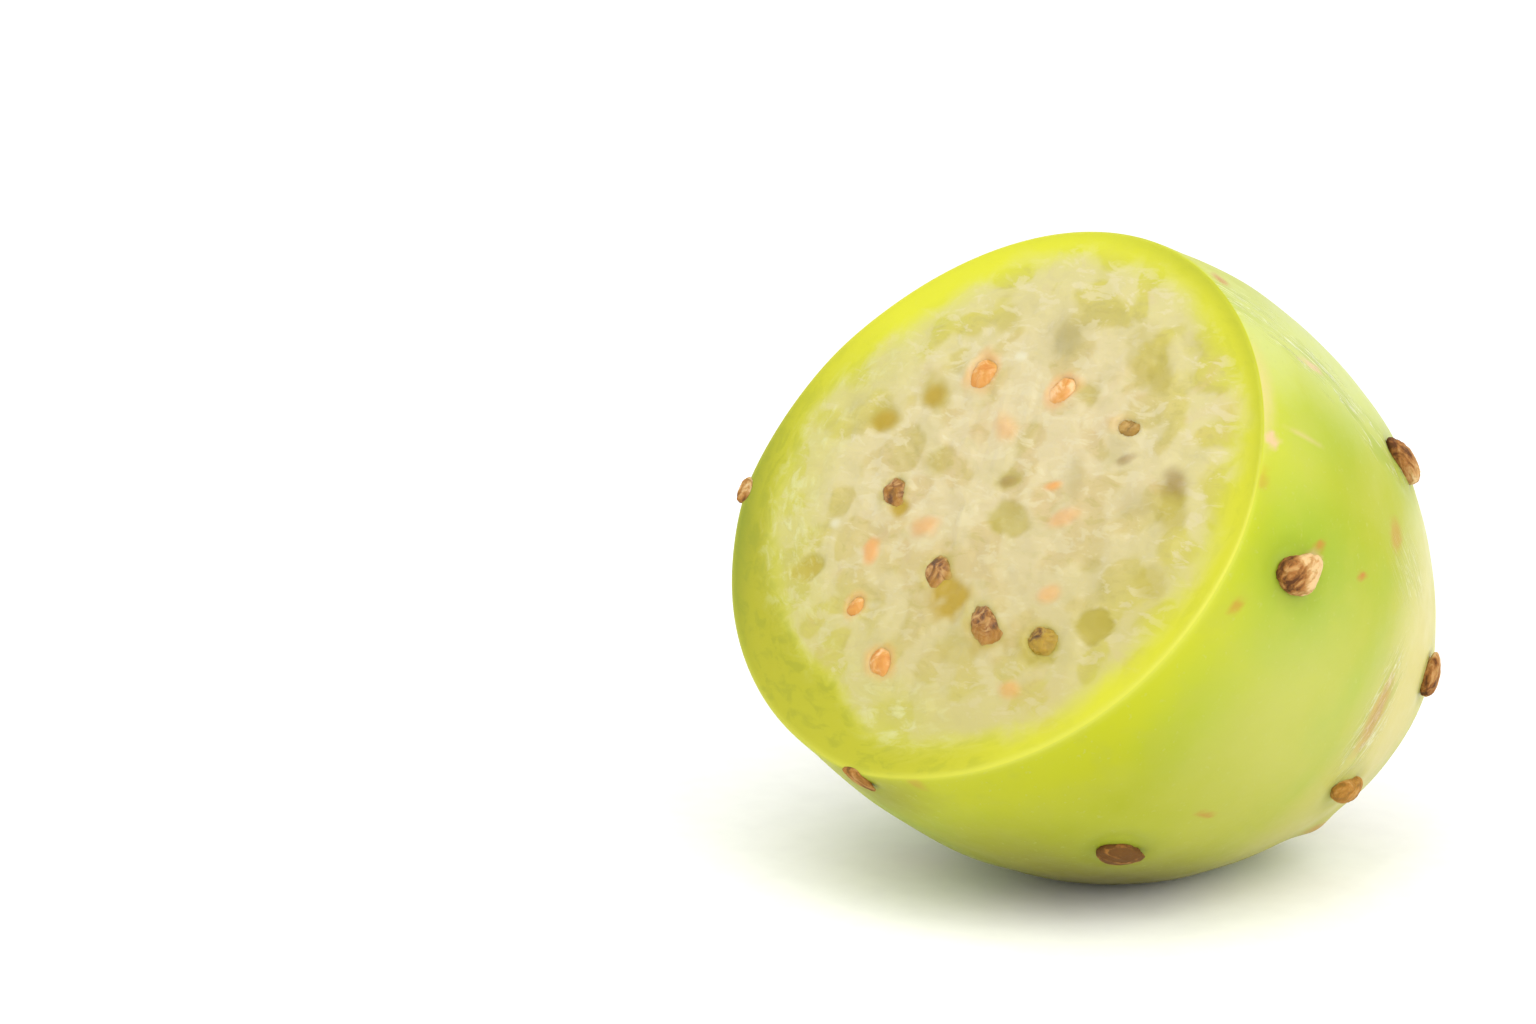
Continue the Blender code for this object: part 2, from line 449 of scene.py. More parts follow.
    def to_part(self, points: Array) -> Array:
        """Carries points from the fruit's frame to the part's."""
        return points @ self.turned().T - np.array(self.rest_point)

    def cut_axes(self) -> Array:
        """Axes on the cut, in the fruit's frame.

        Returns:
            Vectors of length one as rows: right, up the face, and out of it.
        """
        outward = np.array([math.sin(self.cut_slant), 0.0, -math.cos(self.cut_slant)])
        right = self.turned()[0]
        right = unit(right - outward * (right @ outward))
        return np.stack([right, np.cross(outward, right), outward])


class Tone(Enum):
    """What is seen in the pulp: a seed's coat, or the clear wet flesh round a deeper seed."""

    BROWN = "brown"
    OLIVE = "olive"
    GREY = "grey"
    ORANGE = "orange"
    AMBER = "amber"
    # White spots: knots of fibre, and painted glints
    WHITE = "white"


@dataclass(frozen=True)
class Inclusion:
    """An oval thing on the cut face, by its place on the face and its size in mm.

    Attributes:
        right: Place to the right of the cut's middle.
        up: Place up the slope of the face.
        length: Its longer size.
        width: Its shorter size.
        degrees: The length's heading, from the right anticlockwise.
        tone: What it is.
        strength: How strongly it shows, from 0 to 1.
        softness: How wide its edge fades, as a share of its radius.
    """

    right: float
    up: float
    length: float
    width: float
    degrees: float
    tone: Tone
    strength: float = 1.0
    softness: float = 0.3

    def reach(self, places: Array) -> Array:
        """Distance of places on the face from its middle.

        Args:
            places: Places on the face, in mm.

        Returns:
            The distance of each as a share of the way to its edge.
        """
        cosine, sine = math.cos(math.radians(self.degrees)), math.sin(math.radians(self.degrees))
        x, y = places[..., 0] - self.right, places[..., 1] - self.up
        lengthwise, crosswise = x * cosine + y * sine, y * cosine - x * sine
        return np.hypot(lengthwise / (self.length / 2), crosswise / (self.width / 2))


# Seeds whose coat lies bare on the cut
BARE_SEEDS = (
    Inclusion(-8.6, -0.5, 3.9, 2.9, 122, Tone.BROWN),
    Inclusion(0.3, -6.8, 3.6, 3.1, 112, Tone.BROWN),
    Inclusion(8.2, -10.6, 6.0, 3.0, 148, Tone.BROWN),
    Inclusion(14.7, -10.7, 3.7, 2.9, 166, Tone.OLIVE),
    Inclusion(13.4, 10.3, 3.7, 2.2, 173, Tone.BROWN, 0.35),
    Inclusion(-5.1, 12.7, 3.8, 3.2, 101, Tone.ORANGE),
    Inclusion(4.6, 12.6, 3.6, 3.0, 55, Tone.ORANGE),
    Inclusion(-6.8, -11.9, 2.5, 2.2, 106, Tone.ORANGE, 0.8),
    Inclusion(-1.1, -16.4, 3.7, 2.8, 147, Tone.ORANGE),
)
# Seeds under a film of pulp, which makes their edges faint
VEILED_SEEDS = (
    Inclusion(2.6, 17.5, 4.3, 3.4, 165, Tone.GREY, 0.7, 0.4),
    Inclusion(0.4, 7.9, 3.4, 1.9, 144, Tone.ORANGE, 0.4, 0.6),
    Inclusion(8.6, 3.5, 1.5, 1.0, 19, Tone.ORANGE, 0.8, 0.6),
    Inclusion(11.1, 0.6, 2.9, 1.7, 30, Tone.ORANGE, 0.5, 0.6),
    Inclusion(-3.3, -3.1, 2.7, 2.2, 16, Tone.ORANGE, 0.55, 0.6),
    Inclusion(-8.0, -6.4, 2.7, 1.6, 126, Tone.ORANGE, 0.75, 0.5),
    Inclusion(13.4, -6.6, 2.5, 1.5, 24, Tone.ORANGE, 0.5, 0.6),
    Inclusion(14.0, -15.7, 2.1, 1.5, 177, Tone.ORANGE, 0.5, 0.6),
    Inclusion(21.0, 6.1, 3.0, 2.2, 140, Tone.BROWN, 0.6, 0.6),
    Inclusion(14.8, 7.3, 1.7, 0.9, 35, Tone.BROWN, 0.55, 0.5),
    Inclusion(3.5, 3.0, 1.9, 1.0, 12, Tone.BROWN, 0.5, 0.6),
    Inclusion(11.9, 10.5, 2.4, 1.6, 0, Tone.ORANGE, 0.2, 0.9),
)
# Clear wet flesh, and white spots: knots of fibre, and painted glints
SACS = (
    Inclusion(19.5, -8.3, 4.6, 3.2, 173, Tone.OLIVE, 0.9, 0.16),
    Inclusion(23.3, -3.3, 3.6, 2.6, 138, Tone.OLIVE, 0.5, 0.35),
    Inclusion(-14.2, -9.5, 3.3, 2.9, 28, Tone.OLIVE, 0.9, 0.25),
    Inclusion(-14.4, -9.7, 2.9, 2.6, 28, Tone.AMBER, 0.5, 0.4),
    Inclusion(-13.9, 6.5, 4.0, 2.8, 2, Tone.OLIVE, 0.7, 0.5),
    Inclusion(-13.6, 6.2, 2.6, 2.0, 20, Tone.AMBER, 0.8, 0.6),
    Inclusion(-9.4, 10.0, 4.4, 2.8, 136, Tone.OLIVE, 0.65, 0.5),
    Inclusion(-9.3, 9.6, 2.6, 2.2, 100, Tone.AMBER, 0.8, 0.7),
    Inclusion(-5.4, 3.5, 4.0, 2.7, 170, Tone.OLIVE, 0.5, 0.45),
    Inclusion(12.4, 17.0, 7.2, 4.3, 138, Tone.OLIVE, 0.35, 0.3),
    Inclusion(13.9, 15.6, 4.6, 2.4, 138, Tone.OLIVE, 0.6, 0.35),
    Inclusion(5.3, -0.5, 4.9, 3.4, 170, Tone.OLIVE, 0.6, 0.22),
    Inclusion(2.9, -8.9, 4.9, 4.0, 160, Tone.AMBER, 0.9, 0.35),
    Inclusion(6.5, -13.4, 4.6, 3.3, 170, Tone.OLIVE, 0.4, 0.4),
    Inclusion(10.5, 4.7, 4.0, 1.9, 113, Tone.GREY, 0.35, 0.6),
    Inclusion(18.0, 3.4, 4.5, 2.7, 1, Tone.GREY, 0.3, 0.6),
    Inclusion(-17.7, 7.5, 2.6, 1.8, 30, Tone.GREY, 0.35, 0.8),
    Inclusion(7.1, 12.8, 3.0, 1.9, 174, Tone.OLIVE, 0.5, 0.5),
    Inclusion(-7.2, -1.8, 2.4, 1.8, 139, Tone.AMBER, 0.9, 0.5),
    Inclusion(13.4, 8.1, 4.3, 1.8, 122, Tone.GREY, 0.35, 0.6),
    Inclusion(2.6, 17.5, 5.6, 4.4, 165, Tone.GREY, 0.45, 0.5),
    Inclusion(14.9, -11.2, 4.6, 3.6, 166, Tone.OLIVE, 0.8, 0.35),
    Inclusion(21.7, 3.9, 5.0, 3.0, 127, Tone.OLIVE, 0.6, 0.4),
    Inclusion(8.6, -11.4, 4.6, 3.2, 152, Tone.AMBER, 0.5, 0.5),
    Inclusion(3.5, 3.0, 3.0, 1.8, 12, Tone.OLIVE, 0.5, 0.5),
    # White spots: knots of fibre, and painted glints on the wet pulp
    Inclusion(-13.7, -4.7, 1.2, 0.9, 167, Tone.WHITE, 0.75, 0.8),
    Inclusion(-1.7, 15.0, 1.4, 0.9, 174, Tone.WHITE, 0.8, 0.6),
    Inclusion(-4.9, -11.4, 1.4, 0.6, 10, Tone.WHITE, 0.3, 0.8),
    Inclusion(2.2, -9.6, 1.2, 0.8, 40, Tone.WHITE, 0.25, 0.9),
)


class Blemish(Enum):
    """What marks the skin, with painted sheen and painted shade among the marks."""

    GREEN = "green"
    # Painted shade on the underside, towards the floor
    PAINTED_UNDERSIDE_SHADE = "painted_underside_shade"
    # Painted sheen: paler skin where it is seen edge on
    PAINTED_SHEEN = "painted_sheen"
    RUST = "rust"
    PINK = "pink"
    CREAM = "cream"
    CREASE = "crease"
    PUCKER = "pucker"


@dataclass(frozen=True)
class SkinMark:
    """A mark on the skin, by its reach in mm and degrees round the axis, and its size in mm.

    Attributes:
        reach: Its reach along the axis.
        degrees: Its angle round the axis.
        along: Its size towards the crown.
        around: Its size round the fruit.
        blemish: What it is.
        strength: How strongly it shows, from 0 to 1.
        softness: How wide its edge fades, as a share of its radius.
    """

    reach: float
    degrees: float
    along: float
    around: float
    blemish: Blemish
    strength: float
    softness: float = 0.5
    # How far noise moves an edge, and from where on a point is on the fruit's other side
    STRAY_MM: ClassVar[float] = 0.5
    FAR_MM: ClassVar[float] = 32.0

    def mask(self, form: FruitForm, points: Array, wobble: Array) -> Array:
        """How strongly the mark shows at each point, from 0 to its strength.

        Args:
            form: The fruit's form.
            points: Points in the fruit's frame.
            wobble: Noise that makes its edge uneven by parts of a millimetre.

        Returns:
            The mark's strength at each point.
        """
        place = form.place(self.reach, self.degrees)
        along, around, _ = form.axes_at(place)
        away = (points - form.centre(place)) / MM
        reach = np.hypot(away @ along / (self.along / 2), away @ around / (self.around / 2))
        reach += self.STRAY_MM * wobble / (self.along + self.around)
        near = np.linalg.norm(away, axis=-1) <= self.FAR_MM
        return self.strength * np.where(near, inside(reach, self.softness), 0.0)


SKIN_MARKS = (
    SkinMark(16.5, 22, 12.0, 14.0, Blemish.GREEN, 0.6, 0.8),
    SkinMark(15.5, 34, 8.0, 7.0, Blemish.GREEN, 0.35, 0.8),
    SkinMark(18.0, -8, 8.0, 12.0, Blemish.GREEN, 0.3, 0.9),
    SkinMark(12.5, 52, 6.0, 12.0, Blemish.GREEN, 0.25, 0.9),
    SkinMark(22.0, 160, 24.0, 26.0, Blemish.GREEN, 0.5, 0.9),
    SkinMark(30.0, 250, 24.0, 26.0, Blemish.GREEN, 0.45, 0.9),
    # Painted shade on the underside, towards the floor
    SkinMark(24.0, 103, 24.0, 16.0, Blemish.PAINTED_UNDERSIDE_SHADE, 1.0, 0.8),
    SkinMark(0.0, 112, 7.0, 10.0, Blemish.PAINTED_UNDERSIDE_SHADE, 0.5, 0.8),
    # Painted sheen: paler skin towards the right edge, where it is seen edge on
    SkinMark(11.0, -26, 9.0, 17.0, Blemish.PAINTED_SHEEN, 0.8, 0.7),
    SkinMark(13.2, 0, 8.0, 15.0, Blemish.PAINTED_SHEEN, 0.2, 0.9),
    SkinMark(16.0, -6, 8.0, 9.0, Blemish.GREEN, 0.3, 0.9),
    SkinMark(22.0, -30, 26.0, 16.0, Blemish.PAINTED_SHEEN, 1.0, 0.8),
    SkinMark(39.0, 0, 15.0, 26.0, Blemish.PAINTED_SHEEN, 1.0, 0.7),
    SkinMark(22.0, 42, 20.0, 20.0, Blemish.PAINTED_SHEEN, 0.3, 0.9),
    SkinMark(39.0, 34, 17.0, 30.0, Blemish.CREAM, 1.0, 0.7),
    SkinMark(24.0, 56, 16.0, 18.0, Blemish.CREAM, 0.2, 0.9),
    SkinMark(36.0, 62, 12.0, 20.0, Blemish.CREAM, 0.7, 0.8),
    SkinMark(9.4, -7, 2.2, 9.0, Blemish.CREAM, 1.0, 0.8),
    SkinMark(9.2, -38, 1.4, 2.4, Blemish.RUST, 0.75),
    SkinMark(28.3, 4.5, 2.4, 2.8, Blemish.RUST, 0.5),
    SkinMark(10.7, 33, 1.0, 1.2, Blemish.RUST, 0.55),
    SkinMark(23.7, 17.5, 1.0, 0.9, Blemish.RUST, 1.0),
    SkinMark(21.1, 70, 1.8, 0.8, Blemish.RUST, 0.6),
    SkinMark(17.5, 16.5, 1.0, 1.0, Blemish.RUST, 0.8),
    SkinMark(16.9, 19.6, 1.6, 1.1, Blemish.PINK, 0.5),
    SkinMark(16.9, 19.2, 1.6, 1.1, Blemish.RUST, 0.3),
    SkinMark(33.6, 40, 2.4, 7.0, Blemish.RUST, 0.5),
    SkinMark(9.8, 10, 0.9, 1.8, Blemish.RUST, 0.35),
    SkinMark(40.6, 80.5, 3.4, 2.4, Blemish.RUST, 0.6),
    SkinMark(-0.6, 98, 1.6, 1.4, Blemish.RUST, 0.4),
    SkinMark(12.0, 170, 1.5, 1.2, Blemish.RUST, 0.7),
    SkinMark(22.0, 230, 1.2, 1.4, Blemish.RUST, 0.7),
    SkinMark(28.0, 290, 2.0, 1.6, Blemish.RUST, 0.6),
    SkinMark(6.0, 265, 1.4, 1.2, Blemish.RUST, 0.7),
    SkinMark(16.8, -21, 2.8, 1.1, Blemish.PINK, 0.7),
    SkinMark(10.5, 2, 1.5, 1.4, Blemish.PINK, 0.8, 0.3),
    SkinMark(14.2, -2, 4.0, 0.5, Blemish.PINK, 0.35),
    SkinMark(24.0, 200, 3.2, 1.2, Blemish.PINK, 0.6),
    SkinMark(18.0, 300, 2.4, 1.0, Blemish.PINK, 0.6),
    SkinMark(10.0, -31, 9.0, 6.0, Blemish.CREASE, 0.7, 0.6),
    SkinMark(17.0, -23, 9.0, 4.0, Blemish.CREASE, 0.9, 0.5),
    SkinMark(22.0, -17, 8.0, 3.0, Blemish.CREASE, 1.0, 0.5),
    SkinMark(26.5, -12, 8.0, 3.0, Blemish.CREASE, 1.0, 0.5),
    SkinMark(32.0, 8, 8.0, 6.0, Blemish.CREASE, 0.5, 0.7),
    SkinMark(22.0, 190, 9.0, 4.0, Blemish.CREASE, 0.6, 0.6),
    SkinMark(36.0, 280, 8.0, 4.0, Blemish.CREASE, 0.6, 0.6),
    SkinMark(33.8, 40, 5.0, 12.0, Blemish.PUCKER, 1.0, 0.6),
    SkinMark(30.0, 215, 3.0, 10.0, Blemish.PUCKER, 0.6, 0.6),
)


@dataclass(frozen=True)
class Noise:
    """A noise that a pattern is made of.

    Attributes:
        size_mm: The size of its grains.
        detail: How many finer octaves it has.
        roughness: How strong they are.
        distortion: How far it is bent.
    """

    size_mm: float
    detail: float
    roughness: float = 0.5
    distortion: float = 0.0
    # The middle of its values
    MIDDLE: ClassVar[float] = 0.5

    def feeds(self, where: Socket, unit_mm: float = 1.0) -> dict[str, Any]:
        """Works out the inputs of the noise's node.

        Args:
            where: The coordinates.
            unit_mm: The coordinates' unit, in mm.

        Returns:
            The output or value for each input.
        """
        return {
            "Vector": where,
            "Scale": unit_mm / self.size_mm,
            "Detail": self.detail,
            "Roughness": self.roughness,
            "Distortion": self.distortion,
        }


@dataclass(frozen=True)
class Rise:
    """A range of a value over which something comes in.

    Attributes:
        low: Where it starts, which lies over high where it comes in as the value falls.
        high: Where it is all there.
        most: How much of it there is then.
    """

    low: float
    high: float
    most: float = 1.0

    def feeds(self, value: Socket) -> dict[str, Any]:
        """The output or value for each input of the range's node."""
        return {"Value": value, "From Min": self.low, "From Max": self.high, "To Max": self.most}


@dataclass(frozen=True)
class Relief:
    """A relief that is too low for the mesh: its depth, and how strongly it tips the surface."""

    depth_mm: float
    strength: float


def add_node(
    tree: Tree,
    kind: str,
    feeds: dict[str | int, Any] | None = None,
    stops: list[tuple[float, str]] | None = None,
    **settings: Any,
) -> bpy.types.Node:
    """Adds a node with its settings, its inputs and, on a ramp, its stops.

    Args:
        tree: The node tree that it goes into.
        kind: Blender's name for the kind of node.
        feeds: For each input, by name or number, the output that feeds it or its fixed value.
        stops: A colour ramp's places and their sRGB hex codes.
        settings: The node's own properties.

    Returns:
        The node.
    """
    node = tree.nodes.new(kind)
    for name, value in settings.items():
        setattr(node, name, value)
    for key, value in (feeds or {}).items():
        if isinstance(value, Socket):
            tree.links.new(value, node.inputs[key])
        else:
            node.inputs[key].default_value = value
    for index, (place, code) in enumerate(stops or []):
        elements = node.color_ramp.elements
        element = elements[index] if index < 2 else elements.new(place)
        element.position, element.color = place, linear(code)
    return node


def layered(tree: Tree, ground: Socket, layers: list[tuple[Socket | str, str]]) -> Socket:
    """Lays colours one over another, each by its own mask.

    Args:
        tree: The node tree.
        ground: The lowest colour's output.
        layers: Each layer's mask, as an output or an attribute's name, and its sRGB hex code.

    Returns:
        The finished colour's output.
    """
    colour = ground
    for mask, code in layers:
        if isinstance(mask, str):
            mask = add_node(tree, "ShaderNodeAttribute", attribute_name=mask).outputs["Fac"]
        # A Mix node's factor and colours go by number, as their names repeat for each data type
        feeds = {0: mask, 6: colour, 7: linear(code)}
        colour = add_node(tree, "ShaderNodeMix", feeds, data_type="RGBA").outputs[2]
    return colour


def embossed(tree: Tree, layers: list[tuple[Socket, Relief]]) -> Socket:
    """Lays reliefs one over another.

    Args:
        tree: The node tree.
        layers: Each relief's height, as an output, and its depth and strength.

    Returns:
        The output of the finished surface's normal.
    """
    feeds: dict[str | int, Any] = {}
    for height, relief in layers:
        feeds |= {"Height": height, "Distance": relief.depth_mm * MM, "Strength": relief.strength}
        feeds["Normal"] = add_node(tree, "ShaderNodeBump", feeds).outputs["Normal"]
    return feeds["Normal"]


def drawn_out(
    tree: Tree,
    where: Socket,
    scale: tuple[float, float, float],
    noise: Noise,
    unit_mm: float = 1.0,
) -> Socket:
    """Noise drawn out into strokes, as fibres and creases are.

    Args:
        tree: The node tree.
        where: The coordinates.
        scale: The coordinates' scale, lowest along the strokes.
        noise: The noise.
        unit_mm: The coordinates' unit, in mm.

    Returns:
        The noise's output.
    """
    stretched = add_node(tree, "ShaderNodeMapping", {"Vector": where, "Scale": scale})
    feeds = noise.feeds(stretched.outputs["Vector"], unit_mm)
    return add_node(tree, "ShaderNodeTexNoise", feeds).outputs["Fac"]


class Finish(ABC):
    """A finish: the shader's fixed values, and a pattern of nodes that feeds its other inputs."""

    name: str
    fixed: dict[str, Any]

    @abstractmethod
    def pattern(self, tree: Tree) -> dict[str, Socket]:
        """Adds the pattern's nodes and returns the output for each shader input that it feeds."""

    def build(self) -> bpy.types.Material:
        """Makes the material.

        Returns:
            A material with one Principled shader, its fixed values set and its pattern linked.
        """
        material = bpy.data.materials.new(self.name)
        material.use_nodes = True
        tree = material.node_tree
        shader = tree.nodes["Principled BSDF"]
        for key, value in self.fixed.items():
            shader.inputs[key].default_value = value
        for key, output in self.pattern(tree).items():
            tree.links.new(output, shader.inputs[key])
        return material


@dataclass(frozen=True)
class WaxySkin(Finish):
    """The living skin of a ripe prickly pear: a thin green rind under a film of cactus wax.

    The wax gives a soft broad sheen; the paler skin where it is seen edge on is painted sheen. The
    rind under it is painted yellow by the cut, a glow of the light that comes through the peel, and
    greener further on, with soft blotches, fine pale flecks, creases, and small rust-coloured and
    pink scars. Painted shade darkens the underside, rings each areole and lies beside the creases'
    ridges, whose pale colour is partly painted highlight, and a painted highlight runs along the
    rim.
    """

    name: str = "cactus_rind_waxed"
    # Painted glow: yellow by the rim, for the light that comes through the peel
    yellow: str = "#B1B410"
    # Painted highlight along the rim's edge
    lip: str = "#B8BA45"
    green: str = "#7A9A12"
    ground_green: str = "#8EA010"
    ground_yellow: str = "#9CA212"
    ground_pale: str = "#A2A62E"
    fleck: str = "#ABB05A"
    # Painted shade on the underside, towards the floor
    painted_underside_shade: str = "#6E6808"
    # Painted sheen, where the skin is seen edge on
    painted_sheen: str = "#B7BE72"
    cream: str = "#BDB36C"
    # Pale ridges: partly the wax's pale lines, partly painted highlight
    ridge: str = "#DADCB8"
    rust: str = "#B0702C"
    pink: str = "#CDA98C"
    # Painted shade: a darker green beside the creases' ridges and round each areole
    painted_shade_green: str = "#80921C"
    cork: str = "#A08450"
    blotches: Noise = Noise(15.0, 3.0, 0.55)
    mottling: Noise = Noise(3.2, 4.0, 0.55)
    flecks: Noise = Noise(0.55, 2.0, 0.55)
    cracking: Noise = Noise(0.8, 3.0, 0.6, 0.4)
    # The coordinates' scale along a crack, over that across it
    crack_scale: float = 0.12
    # A crack by its noise: a ridge by how far it is from the middle, and the painted shade beside
    # it by how far over it
    ridge_rise: Rise = Rise(0.04, 0.0)
    furrow_shade_rise: Rise = Rise(0.02, 0.09)
    # How strongly each shows: the painted glow by the distance over the rim, the others by their
    # noise
    painted_glow_shown: Rise = Rise(-12.0, -0.5, 0.85)
    mottle_shown: Rise = Rise(0.45, 0.7, 0.4)
    fleck_shown: Rise = Rise(0.62, 0.76, 0.35)
    ridge_highlight_shown: Rise = Rise(0.0, 1.0, 0.7)
    furrow_shade_shown: Rise = Rise(0.0, 1.0, 0.35)
    # The wax's roughness, from its least to its most, by the mottling
    roughness: Rise = Rise(0.3, 0.7, 0.5)
    least_rough: float = 0.36
    fleck_relief: Relief = Relief(0.02, 0.5)
    mottle_relief: Relief = Relief(0.06, 0.8)
    crease_relief: Relief = Relief(0.12, 0.8)
    fixed: dict[str, Any] = field(
        default_factory=lambda: {
            "IOR": 1.38,
            "Subsurface Weight": 0.3,
            "Subsurface Radius": (1.0, 0.9, 0.15),
            "Subsurface Scale": 2.5 * MM,
            "Specular IOR Level": 0.3,
            "Sheen Weight": 0.04,
            "Sheen Roughness": 0.4,
        }
    )

    def pattern(self, tree: Tree) -> dict[str, Socket]:
        """Adds the rind's colours, its wax's uneven gloss and its fine relief.

        Args:
            tree: The node tree.

        Returns:
            The outputs of the colour, the roughness and the normal.
        """
        where = add_node(tree, "ShaderNodeTexCoord").outputs["Object"]
        cracks = [
            self.cracks(tree, (1.0, 1.0, self.crack_scale), Blemish.CREASE),
            self.cracks(tree, (self.crack_scale, self.crack_scale, 1.0), Blemish.PUCKER),
        ]
        # The creases' ridges, and the painted shade on one side of them
        crease, furrow_shade = (
            add_node(
                tree, "ShaderNodeMath", {0: one, 1: other}, operation="MAXIMUM"
            ).outputs["Value"]
            for one, other in zip(*cracks)
        )
        blotch, mottle, fleck = (
            add_node(tree, "ShaderNodeTexNoise", noise.feeds(where, METRE_IN_MM)).outputs["Fac"]
            for noise in (self.blotches, self.mottling, self.flecks)
        )
        gloss = add_node(
            tree,
            "ShaderNodeMapRange",
            self.roughness.feeds(mottle) | {"To Min": self.least_rough},
        ).outputs["Result"]
        reliefs = [
            (fleck, self.fleck_relief),
            (mottle, self.mottle_relief),
            (crease, self.crease_relief),
        ]
        return {
            "Base Color": self.colour(tree, blotch, mottle, fleck, (crease, furrow_shade)),
            "Roughness": gloss,
            "Normal": embossed(tree, reliefs),
        }

    def colour(
        self,
        tree: Tree,
        blotch: Socket,
        mottle: Socket,
        fleck: Socket,
        creases: tuple[Socket, Socket],
    ) -> Socket:
        """Lays the painted glow by the rim, the mottling, and the marks with their painted sheen,
        shade and highlights over the ground's blotches.

        Args:
            tree: The node tree.
            blotch: Broad noise.
            mottle: Noise of a few millimetres.
            fleck: Fine noise.
            creases: How far a place is on a crease's ridge, and in the painted shade beside it,
                from 0 to 1.

        Returns:
            The colour's output.
        """
        ground = add_node(
            tree,
            "ShaderNodeValToRGB",
            {"Fac": blotch},
            stops=[
                (0.32, self.ground_green),
                (0.50, self.ground_yellow),
                (0.66, self.ground_pale),
            ],
        ).outputs["Color"]
        across = add_node(tree, "ShaderNodeAttribute", attribute_name="across").outputs["Fac"]
        painted_glow, mottled, flecked, ridge_highlight, painted_furrow_shade = (
            add_node(
                tree, "ShaderNodeMapRange", rise.feeds(value), interpolation_type="SMOOTHSTEP"
            ).outputs["Result"]
            for value, rise in (
                (across, self.painted_glow_shown),
                (mottle, self.mottle_shown),
                (fleck, self.fleck_shown),
                (creases[0], self.ridge_highlight_shown),
                (creases[1], self.furrow_shade_shown),
            )
        )
        layers = [
            # Painted glow by the rim, for the light that comes through the peel
            (painted_glow, self.yellow),
            (Blemish.GREEN.value, self.green),
            (mottled, self.ground_pale),
            # Painted shade on the underside
            (Blemish.PAINTED_UNDERSIDE_SHADE.value, self.painted_underside_shade),
            # Painted sheen towards the right edge
            (Blemish.PAINTED_SHEEN.value, self.painted_sheen),
            (Blemish.CREAM.value, self.cream),
            (flecked, self.fleck),
            # Painted shade beside the creases' ridges
            (painted_furrow_shade, self.painted_shade_green),
            # Pale ridges, partly painted highlight
            (ridge_highlight, self.ridge),
            # Painted shade round each areole
            ("painted_areole_shade", self.painted_shade_green),
            (Blemish.RUST.value, self.rust),
            (Blemish.PINK.value, self.pink),
            ("crown", self.cork),
            # Painted highlight along the rim's edge
            ("lip", self.lip),
        ]
        return layered(tree, ground, layers)

    def cracks(
        self, tree: Tree, scale: tuple[float, float, float], blemish: Blemish
    ) -> tuple[Socket, Socket]:
        """Fine ridges where drawn-out noise crosses its middle, with painted shade on one side of
        them.

        Args:
            tree: The node tree.
            scale: The scale of the coordinates round and along the fruit, lowest along the ridges.
            blemish: The mark that they lie in.

        Returns:
            The outputs of how far a place is on a ridge and in the painted shade beside it, from 0
            to 1.
        """
        wrap = add_node(tree, "ShaderNodeAttribute", attribute_name="wrap").outputs["Vector"]
        lines = drawn_out(tree, wrap, scale, self.cracking)
        off = add_node(
            tree, "ShaderNodeMath", {0: lines, 1: Noise.MIDDLE}, operation="SUBTRACT"
        ).outputs["Value"]
        away = add_node(tree, "ShaderNodeMath", {0: off}, operation="ABSOLUTE").outputs["Value"]
        marked = add_node(
            tree, "ShaderNodeAttribute", attribute_name=blemish.value
        ).outputs["Fac"]
        ridge, furrow_shade = (
            add_node(
                tree,
                "ShaderNodeMapRange",
                rise.feeds(value) | {"To Max": marked},
                interpolation_type="SMOOTHSTEP",
            ).outputs["Result"]
            for value, rise in ((away, self.ridge_rise), (off, self.furrow_shade_rise))
        )
        return ridge, furrow_shade


